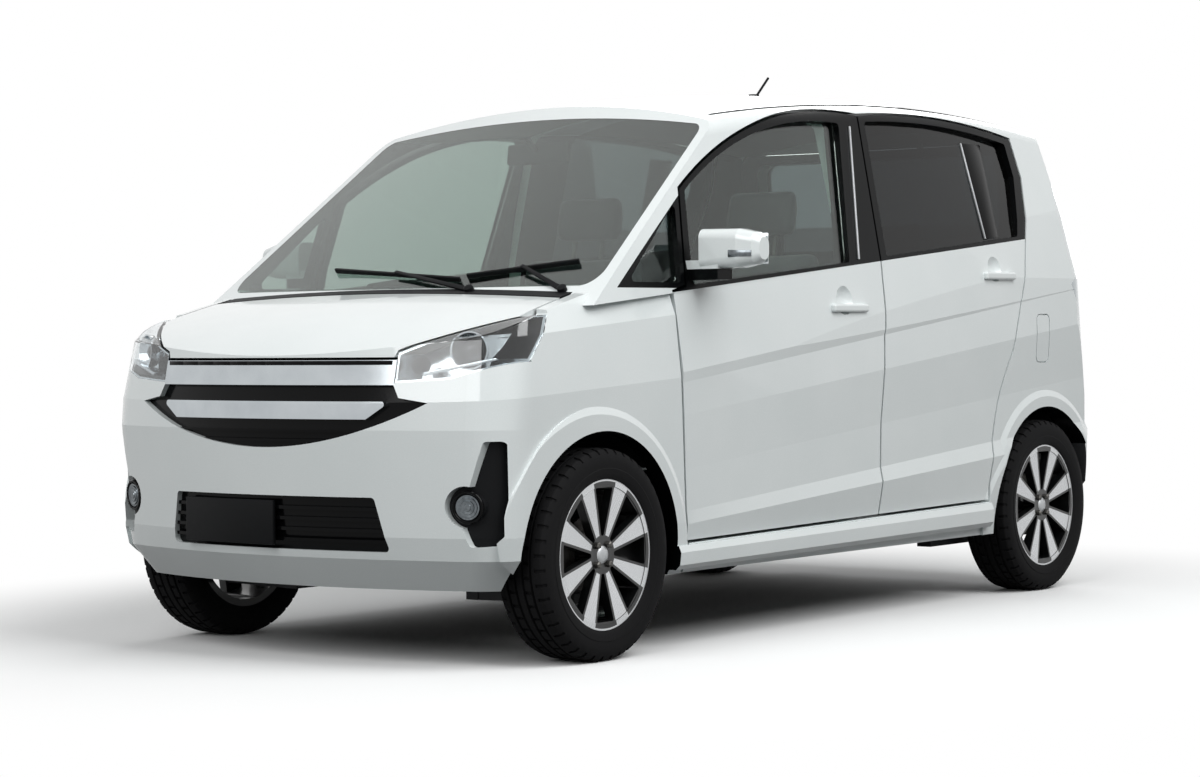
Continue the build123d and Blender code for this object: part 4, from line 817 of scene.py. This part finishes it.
# name, body, glass, spindle, blade ends on the glass as x and z, end of the car: -1 is the nose
WIPERS = (
    ("middle_wiper", "body", "windscreen", (300, -1192, 984), ((237, 1006), (-262, 1041)), -1),
    ("left_wiper", "body", "windscreen", (585, -1150, 980), ((570, 1050), (251, 1015)), -1),
    ("rear_wiper", "tailgate", "tailgate_glass", (0, 1632, 1110), ((-20, 1172), (330, 1196)), 1),
)
for name, body, glass, spindle, ends, end_of_car in WIPERS:
    tips = [touch(glass, (x, BEHIND * end_of_car, z), (0, -end_of_car, 0), BLADE_OFF) for x, z in ends]
    (near, facing), (far, _) = tips
    sunk = facing * LIP_SINK
    held_at = near.lerp(far, 0.5) + facing * (ARM_OFF - BLADE_OFF)
    shapes = [
        bar(near, far, facing, wide=8, thick=14),
        bar(near - sunk, far - sunk, facing, wide=3, thick=8),
        bar(spindle, held_at, facing, wide=16, thick=7, taper=0.6),
        stand(turned(SPINDLE, steps=24), spindle, facing),
    ]
    settle(joined(shapes), name, body, black_plastic)
print("wipers", [row[0] for row in WIPERS])

# %% [markdown]
# ## Window sashes and painted highlight strips
# The rear door's window is split by a black upright. Thin silver strips along the uprights are painted
# highlights: they stand for the light that the edges of the window frames catch. The corners of the upright
# and the ends of each strip are found on the glass or on the door frame, so a plate and straight bars between
# them sit on what carries them.

# %% Window sashes and painted highlight strips
SASH = ((937, 1152), (1014, 1160), (1040, 1462), (920, 1462))
SASH_OFF, SASH_THICK = 1, 5
# the strips are painted highlights: silver bars that stand for the light caught by the frames' edges
HIGHLIGHT_OFF, HIGHLIGHT_SIZE = 3, 6
# name, node that carries it, ends as y and z
HIGHLIGHT_STRIPS = (
    ("front_sash_highlight", "front_door", ((137, 1075), (226, 1480))),
    ("rear_sash_highlight", "rear_door_glass", ((934, 1152), (917, 1462))),
)


def beside(node, sign, y, z, off):
    """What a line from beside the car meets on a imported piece."""
    return touch(node, (sign * BESIDE, y, z), (-sign, 0, 0), off)


for side, sign in SIDES:
    corners = [beside(f"rear_door_glass_{side}", sign, y, z, SASH_OFF)[0] for y, z in SASH]
    shape = bmesh.new()
    face = shape.faces.new([shape.verts.new(c * MM) for c in corners])
    bmesh.ops.recalc_face_normals(shape, faces=[face])
    bmesh.ops.translate(shape, verts=pushed(shape, [face]), vec=(sign * SASH_THICK * MM, 0, 0))
    rounded(shape, 1)
    settle(shape, f"rear_sash_{side}", f"rear_door_{side}", gloss_black)
    # each strip paints a highlight along a window frame's edge, in the silver of the hub caps
    for name, node, ends in HIGHLIGHT_STRIPS:
        body = f"{node.replace('_glass', '')}_{side}"
        (start, facing), (end, _) = (beside(f"{node}_{side}", sign, y, z, HIGHLIGHT_OFF) for y, z in ends)
        strip = bar(start, end, facing, HIGHLIGHT_SIZE, HIGHLIGHT_SIZE)
        settle(strip, f"{name}_{side}", body, silver_cap_and_highlight)
print("strips", 2 * len(HIGHLIGHT_STRIPS))

# %% [markdown]
# ## Door mirrors and cabin mirror
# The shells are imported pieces. They get their glass at the rear and a turn lamp strip at the front, out
# near the tip. The cabin mirror hangs from the top of the windscreen.

# %% Door mirrors and cabin mirror
GLASS_AT = (832, 1090)
TURN_LAMP_X, TURN_LAMP_Z = (838, 905), 1076
# silver behind smooth glass: it mirrors the road with clear edges
silvered = grained("silvered_mirror_glass", "#c9ced0", "#d2d6d8", 80, 0.03, bump=0.0, metallic=1.0)
for side, sign in SIDES:
    shell, door = f"door_mirror_{side}", f"front_door_{side}"
    place, facing = touch(shell, (sign * GLASS_AT[0], BEHIND, GLASS_AT[1]), (0, -1, 0))
    glass = stand(slab(block(148, 84), 3, 1), place, facing)
    settle(glass, f"mirror_glass_{side}", door, silvered)
    (start, facing), (end, _) = (
        touch(shell, (sign * x, AHEAD, TURN_LAMP_Z), (0, 1, 0), 1) for x in TURN_LAMP_X)
    strip = bar(start, end, facing, wide=20, thick=6, taper=0.8)
    settle(strip, f"mirror_turn_lamp_{side}", door, fog_glass)
cabin_mirror = stand(slab(block(230, 62), 20, 8), (0, -505, 1392), (0, 1, -0.12))
stem = bar((0, -548, 1432), (0, -508, 1398), (0, 1, 0), wide=16, thick=12)
settle(joined([cabin_mirror, stem]), "cabin_mirror", "body", black_plastic)
print("mirrors", len(SIDES) + 1)

# %% [markdown]
# ## Seats
# A car seat is foam under a sewn cover: it bulges between its seams and pulls in at its corners. Each pad
# starts as a rounded slab a little smaller than the real one, is remeshed to an even grid, and is blown up
# by a short cloth simulation with its movement capped. The right seat is the mirror of the left one.

# %% Seat pads
PAD_GRID = 0.009
PAD_PRESSURE = 4
PAD_FRAMES = 20
SWELL_CAP = 0.014
EASE_PASSES = 3
# turns a plate's X, Y and Z to the car's Y, Z and X
ACROSS = Matrix(((0, 0, 1, 0), (1, 0, 0, 0), (0, 1, 0, 0), (0, 0, 0, 1)))
SEAT_X = 330


def side_cut(outline, start, end, edge):
    """A side outline of (y, z) points pulled across the car from one x to another, in millimetres."""
    shape = slab(outline, end - start, edge)
    bmesh.ops.transform(shape, matrix=Matrix.Translation((start * MM, 0, 0)) @ ACROSS, verts=shape.verts)
    return shape


def as_mesh(holder):
    """What an object's modifiers make of it, as a new mesh."""
    return bpy.data.meshes.new_from_object(holder.evaluated_get(bpy.context.evaluated_depsgraph_get()))


def inflated(shape):
    """A foam pad's bmesh after its cover has been blown up a little."""
    holder = bpy.data.objects.new("pad", bpy.data.meshes.new("pad"))
    shape.to_mesh(holder.data)
    shape.free()
    scene.collection.objects.link(holder)
    grid = holder.modifiers.new("even_grid", "REMESH")
    grid.voxel_size = PAD_GRID
    holder.data = as_mesh(holder)
    holder.modifiers.clear()
    start = [v.co.copy() for v in holder.data.vertices]
    cover = holder.modifiers.new("cover", "CLOTH")
    cover.settings.use_pressure = True
    cover.settings.uniform_pressure_force = PAD_PRESSURE
    cover.settings.effector_weights.gravity = 0
    cover.point_cache.frame_end = PAD_FRAMES
    for step in range(1, PAD_FRAMES + 1):
        scene.frame_set(step)
    holder.data = as_mesh(holder)
    holder.modifiers.clear()
    scene.frame_set(1)
    made = bmesh.new()
    made.from_mesh(holder.data)
    bpy.data.objects.remove(holder)
    for vert, before in zip(made.verts, start):
        moved = vert.co - before
        if moved.length > SWELL_CAP:
            vert.co = before + moved * (SWELL_CAP / moved.length)
    for _ in range(EASE_PASSES):
        bmesh.ops.smooth_vert(
            made, verts=made.verts, factor=0.5, use_axis_x=True, use_axis_y=True, use_axis_z=True)
    return made


CUSHION = ((-428, 482), (-432, 556), (-380, 580), (-44, 590), (-12, 530), (-16, 482))
BACKREST = ((-2, 606), (30, 760), (116, 1100), (150, 1110), (200, 1102), (150, 800), (112, 506), (30, 506))
HEADREST = ((154, 1156), (146, 1200), (168, 1290), (212, 1298), (224, 1240), (210, 1156))
BENCH = ((578, 436), (574, 504), (604, 532), (955, 536), (975, 480), (965, 436))
BENCH_BACK = (
    (978, 556), (992, 700), (1036, 1064), (1054, 1074), (1080, 1068), (1082, 500), (1074, 448), (1006, 448))
REAR_HEADREST = ((1050, 1114), (1046, 1180), (1060, 1220), (1080, 1224), (1086, 1170), (1080, 1114))
# name, outline, x from and to, edge, CAD node, fill
PADS = (
    ("seat_cushion", CUSHION, SEAT_X - 226, SEAT_X + 226, 26, "front_seats", 0.7),
    ("seat_backrest", BACKREST, SEAT_X - 226, SEAT_X + 226, 24, "front_seats", 0.7),
    ("seat_headrest", HEADREST, SEAT_X - 118, SEAT_X + 118, 20, "front_seats", 0.8),
    ("bench_cushion", BENCH, 8, 506, 26, "rear_seat", 0.7),
    ("bench_backrest", BENCH_BACK, 8, 506, 22, "rear_seat", 0.7),
    ("bench_headrest", REAR_HEADREST, 165, 375, 16, "rear_seat", 0.8),
)
for name, outline, start, end, edge, node, fill in PADS:
    left = inflated(side_cut(outline, start, end, edge))
    right = left.copy()
    bmesh.ops.scale(right, vec=(-1, 1, 1), verts=right.verts)
    for shape, side in ((left, "left"), (right, "right")):
        pad = settle(shape, f"{name}_{side}", "body", seat_cloth)
        pad.data.shade_smooth()
        finer = pad.modifiers.new("finer", "SUBSURF")
        finer.levels = finer.render_levels = 1
        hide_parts(node)
    print(name, len(pad.data.polygons))

# %% [markdown]
# ## Seat frames
# The foam rests on a moulded base over its rails, and each headrest stands on two steel posts.

# %% Seat frames
# name, side outline, x from and to
BASES = (
    ("seat_base", ((-400, 242), (-424, 478), (70, 478), (40, 242)), SEAT_X - 200, SEAT_X + 200),
    ("bench_base", ((590, 242), (580, 432), (1070, 446), (1060, 242)), 10, 500),
)
BASE_EDGE = 12
# name, foot and top as y and z, half distance between posts, middle x
POSTS = (
    ("seat_posts", (168, 1096), (184, 1170), 55, SEAT_X),
    ("bench_posts", (1060, 1062), (1066, 1124), 50, 270),
)
POST_SIZE = 12
for side, sign in SIDES:
    for name, outline, start, end in BASES:
        base = side_cut(outline, start, end, BASE_EDGE)
        bmesh.ops.scale(base, vec=(sign, 1, 1), verts=base.verts)
        settle(base, f"{name}_{side}", "body", black_plastic)
    for name, foot, top, reach, middle in POSTS:
        places = [sign * (middle + x) for x in (-reach, reach)]
        rods = [bar((x, *foot), (x, *top), (1, 0, 0), POST_SIZE, POST_SIZE) for x in places]
        settle(joined(rods), f"{name}_{side}", "body", bare_steel)
print("seat frames", 2 * len(BASES) + 2 * len(POSTS))

# %% [markdown]
# ## Dashboard fittings and door rests
# Through the glass one sees a hooded instrument panel behind the wheel, a dark screen in the middle with
# three knobs below it, slatted vents, and an arm rest on each door.

# %% Dashboard fittings and door rests
HOOD_ARCH = ((-150, 0), (-142, 44), (-104, 74), (0, 84), (104, 74), (142, 44), (150, 0))
DIAL_ARCH = tuple((x * 0.86, 4 + z * 0.82) for x, z in HOOD_ARCH)
WHEEL_X, PANEL_Z = -330, 940
SCREEN_Z, KNOB_Z, VENT_Z, REST_Z = 870, 770, 885, 770
KNOB = ((22, 0), (22, 15), (19, 18), (4, 19), (0, 24), (-4, 24), (-4, 0))
VENT = (118, 52)
FIN = Vector((50, 0, 0))
REST = ((-200, -26), (200, -30), (200, 26), (120, 34), (-200, 30))


def on_dash(x, z):
    """What a line from the cabin meets on the dashboard."""
    return touch("dashboard", (x, CABIN_Y, z), (0, -1, 0))


hood = stand(slab(HOOD_ARCH, 130, 8), (WHEEL_X, -775, PANEL_Z), (0, 1, 0))
settle(hood, "instrument_hood", "body", dash_plastic)
dials = stand(slab(DIAL_ARCH, 6, 2), (WHEEL_X, -647, PANEL_Z), (0, 1, 0))
settle(dials, "instrument_face", "body", screen_black)
screen = stand(slab(block(210, 120), 12, 4), *on_dash(0, SCREEN_Z))
settle(screen, "dash_screen", "body", screen_black)
knobs = [stand(turned(KNOB, steps=28), *on_dash(x, KNOB_Z)) for x in (-60, 0, 60)]
settle(joined(knobs), "dash_knobs", "body", chrome)
for x in (-520, -150, 150, 520):
    place, facing = on_dash(x, VENT_Z)
    fins = [stand(slab(block(*VENT), 6, 2), place, facing)]
    for step in (-15, -5, 5, 15):
        lift = place + Vector((0, 0, step)) + facing * 6
        fins.append(bar(lift - FIN, lift + FIN, facing, wide=3, thick=9))
    vent = f"dash_vent_{'right' if x < 0 else 'left'}_{abs(x)}"
    settle(joined(fins), vent, "body", black_plastic)
for side, sign in SIDES:
    for door, y in (("front_door", -300), ("rear_door", 560)):
        place = touch(f"{door}_{side}", (sign * CABIN_X, y, REST_Z), (sign, 0, 0))[0]
        rest = stand(slab(REST, 42, 12), place, (-sign, 0, 0))
        settle(rest, f"{door}_rest_{side}", f"{door}_{side}", dash_plastic)
print("last door rest at", [round(v) for v in place])

# %% [markdown]
# ## Roof strips
# A thin rubber strip covers the seam between the roof skin and each side frame. Short bars follow the
# roof's curve from the windscreen to the tail.

# %% Roof strips
STRIP_X = 538
STRIP_FROM, STRIP_TO, STRIP_RUNS = -390, 1470, 14
SEAM_OFF = 0.5
for side, sign in SIDES:
    marks = []
    for k in range(STRIP_RUNS + 1):
        y = STRIP_FROM + (STRIP_TO - STRIP_FROM) * k / STRIP_RUNS
        marks.append(touch("roof_panel", (sign * STRIP_X, y, ABOVE), (0, 0, -1), SEAM_OFF)[0])
    runs = [bar(a, b, (0, 0, 1), wide=9, thick=4) for a, b in zip(marks, marks[1:])]
    settle(joined(runs), f"roof_strip_{side}", "body", black_plastic)
print("roof strips", 2 * STRIP_RUNS, "runs")

# %% [markdown]
# ## Studio
# The camera sees a white floor and sky, also through glass. The car itself is lit and mirrored by a white
# sky over a grey floor, so the sills stay darker than the roof. The floor near the car is a plain matte
# surface that takes its shadow, and it fades to even white a few steps away.

# %% Floor and sky
FLOOR_HALF = 60
FADE_FROM, FADE_TO = 1.4, 2.6
FADE_STRETCH = (1.0, 0.8, 0)
SKY_LEVEL = 0.2
MIRRORED_FLOOR, MIRRORED_SKY = 0.55, 1.0


def seen_directly(tree, mirrored):
    """One for rays from the camera or through glass, and the mirrored share for polished surfaces."""
    path = add_node(tree, "ShaderNodeLightPath")
    seen = add_node(
        tree, "ShaderNodeMath", {0: path.outputs["Is Camera Ray"], 1: path.outputs["Is Transmission Ray"]},
        operation="ADD")
    return add_node(
        tree, "ShaderNodeMath", {0: path.outputs["Is Glossy Ray"], 1: mirrored, 2: seen.outputs[0]},
        operation="MULTIPLY_ADD", use_clamp=True).outputs[0]


shape = bmesh.new()
bmesh.ops.create_grid(shape, x_segments=1, y_segments=1, size=FLOOR_HALF)
floor_mesh = bpy.data.meshes.new("floor")
shape.to_mesh(floor_mesh)
shape.free()
floor = bpy.data.objects.new("floor", floor_mesh)
scene.collection.objects.link(floor)
floor_finish, tree = new_material("matte_studio_floor")
seen = seen_directly(tree, MIRRORED_FLOOR)
place = add_node(tree, "ShaderNodeTexCoord").outputs["Object"]
stretched = add_node(tree, "ShaderNodeVectorMath", {0: place, 1: FADE_STRETCH}, operation="MULTIPLY")
reach = add_node(tree, "ShaderNodeVectorMath", {0: stretched.outputs["Vector"]}, operation="LENGTH")
fade = add_node(
    tree, "ShaderNodeMapRange", {"Value": reach.outputs["Value"], "From Min": FADE_FROM, "From Max": FADE_TO},
    interpolation_type="SMOOTHSTEP")
tone = add_node(
    tree, "ShaderNodeMix", {0: seen, 6: linear("#4a4c4d"), 7: linear("#f7f8f8")}, data_type="RGBA")
matte = add_node(tree, "ShaderNodeBsdfDiffuse", {"Color": tone.outputs[2]})
white = add_node(tree, "ShaderNodeEmission", {"Color": linear("#ffffff"), "Strength": 1.0})
share = add_node(tree, "ShaderNodeMath", {0: seen, 1: fade.outputs["Result"]}, operation="MULTIPLY")
mixed = add_node(
    tree, "ShaderNodeMixShader",
    {0: share.outputs[0], 1: matte.outputs["BSDF"], 2: white.outputs["Emission"]})
add_node(tree, "ShaderNodeOutputMaterial", {"Surface": mixed.outputs[0]})
floor_mesh.materials.append(floor_finish)

world = bpy.data.worlds.new("studio")
world.use_nodes = True
tree = world.node_tree
tree.nodes.clear()
seen = seen_directly(tree, MIRRORED_SKY)
level = add_node(tree, "ShaderNodeMapRange", {"Value": seen, "To Min": SKY_LEVEL, "To Max": 1.0})
sky = add_node(
    tree, "ShaderNodeBackground", {"Color": linear("#ffffff"), "Strength": level.outputs["Result"]})
add_node(tree, "ShaderNodeOutputWorld", {"Surface": sky.outputs["Background"]})
scene.world = world
print("floor fades from", FADE_FROM, "to", FADE_TO, "m")

# %% [markdown]
# ## Lights
# One wide soft light stands high on the car's left and one ahead of the nose. A weaker one behind the far
# corner fills the sides that the picture doesn't show. Together they leave white paint just under full
# white.

# %% Lights
# name, place, aim, size in metres, power in watts
LIGHTS = (
    ("left_softbox", (5.0, -0.6, 5.2), (0.7, 0.0, 0.9), 5.0, 345),
    ("front_softbox", (0.8, -7.0, 4.6), (0, -1.6, 0.6), 5.0, 310),
    ("back_softbox", (-2.8, 7.2, 3.8), (0, 0.8, 0.8), 5.0, 230),
)
for name, place, aim, size, power in LIGHTS:
    lamp = bpy.data.lights.new(name, "AREA")
    lamp.size = size
    lamp.energy = power
    carrier = bpy.data.objects.new(name, lamp)
    carrier.location = place
    carrier.rotation_euler = (Vector(aim) - Vector(place)).to_track_quat("-Z", "Y").to_euler()
    scene.collection.objects.link(carrier)
scene.view_settings.view_transform = "Standard"
print("lights", [row[0] for row in LIGHTS])
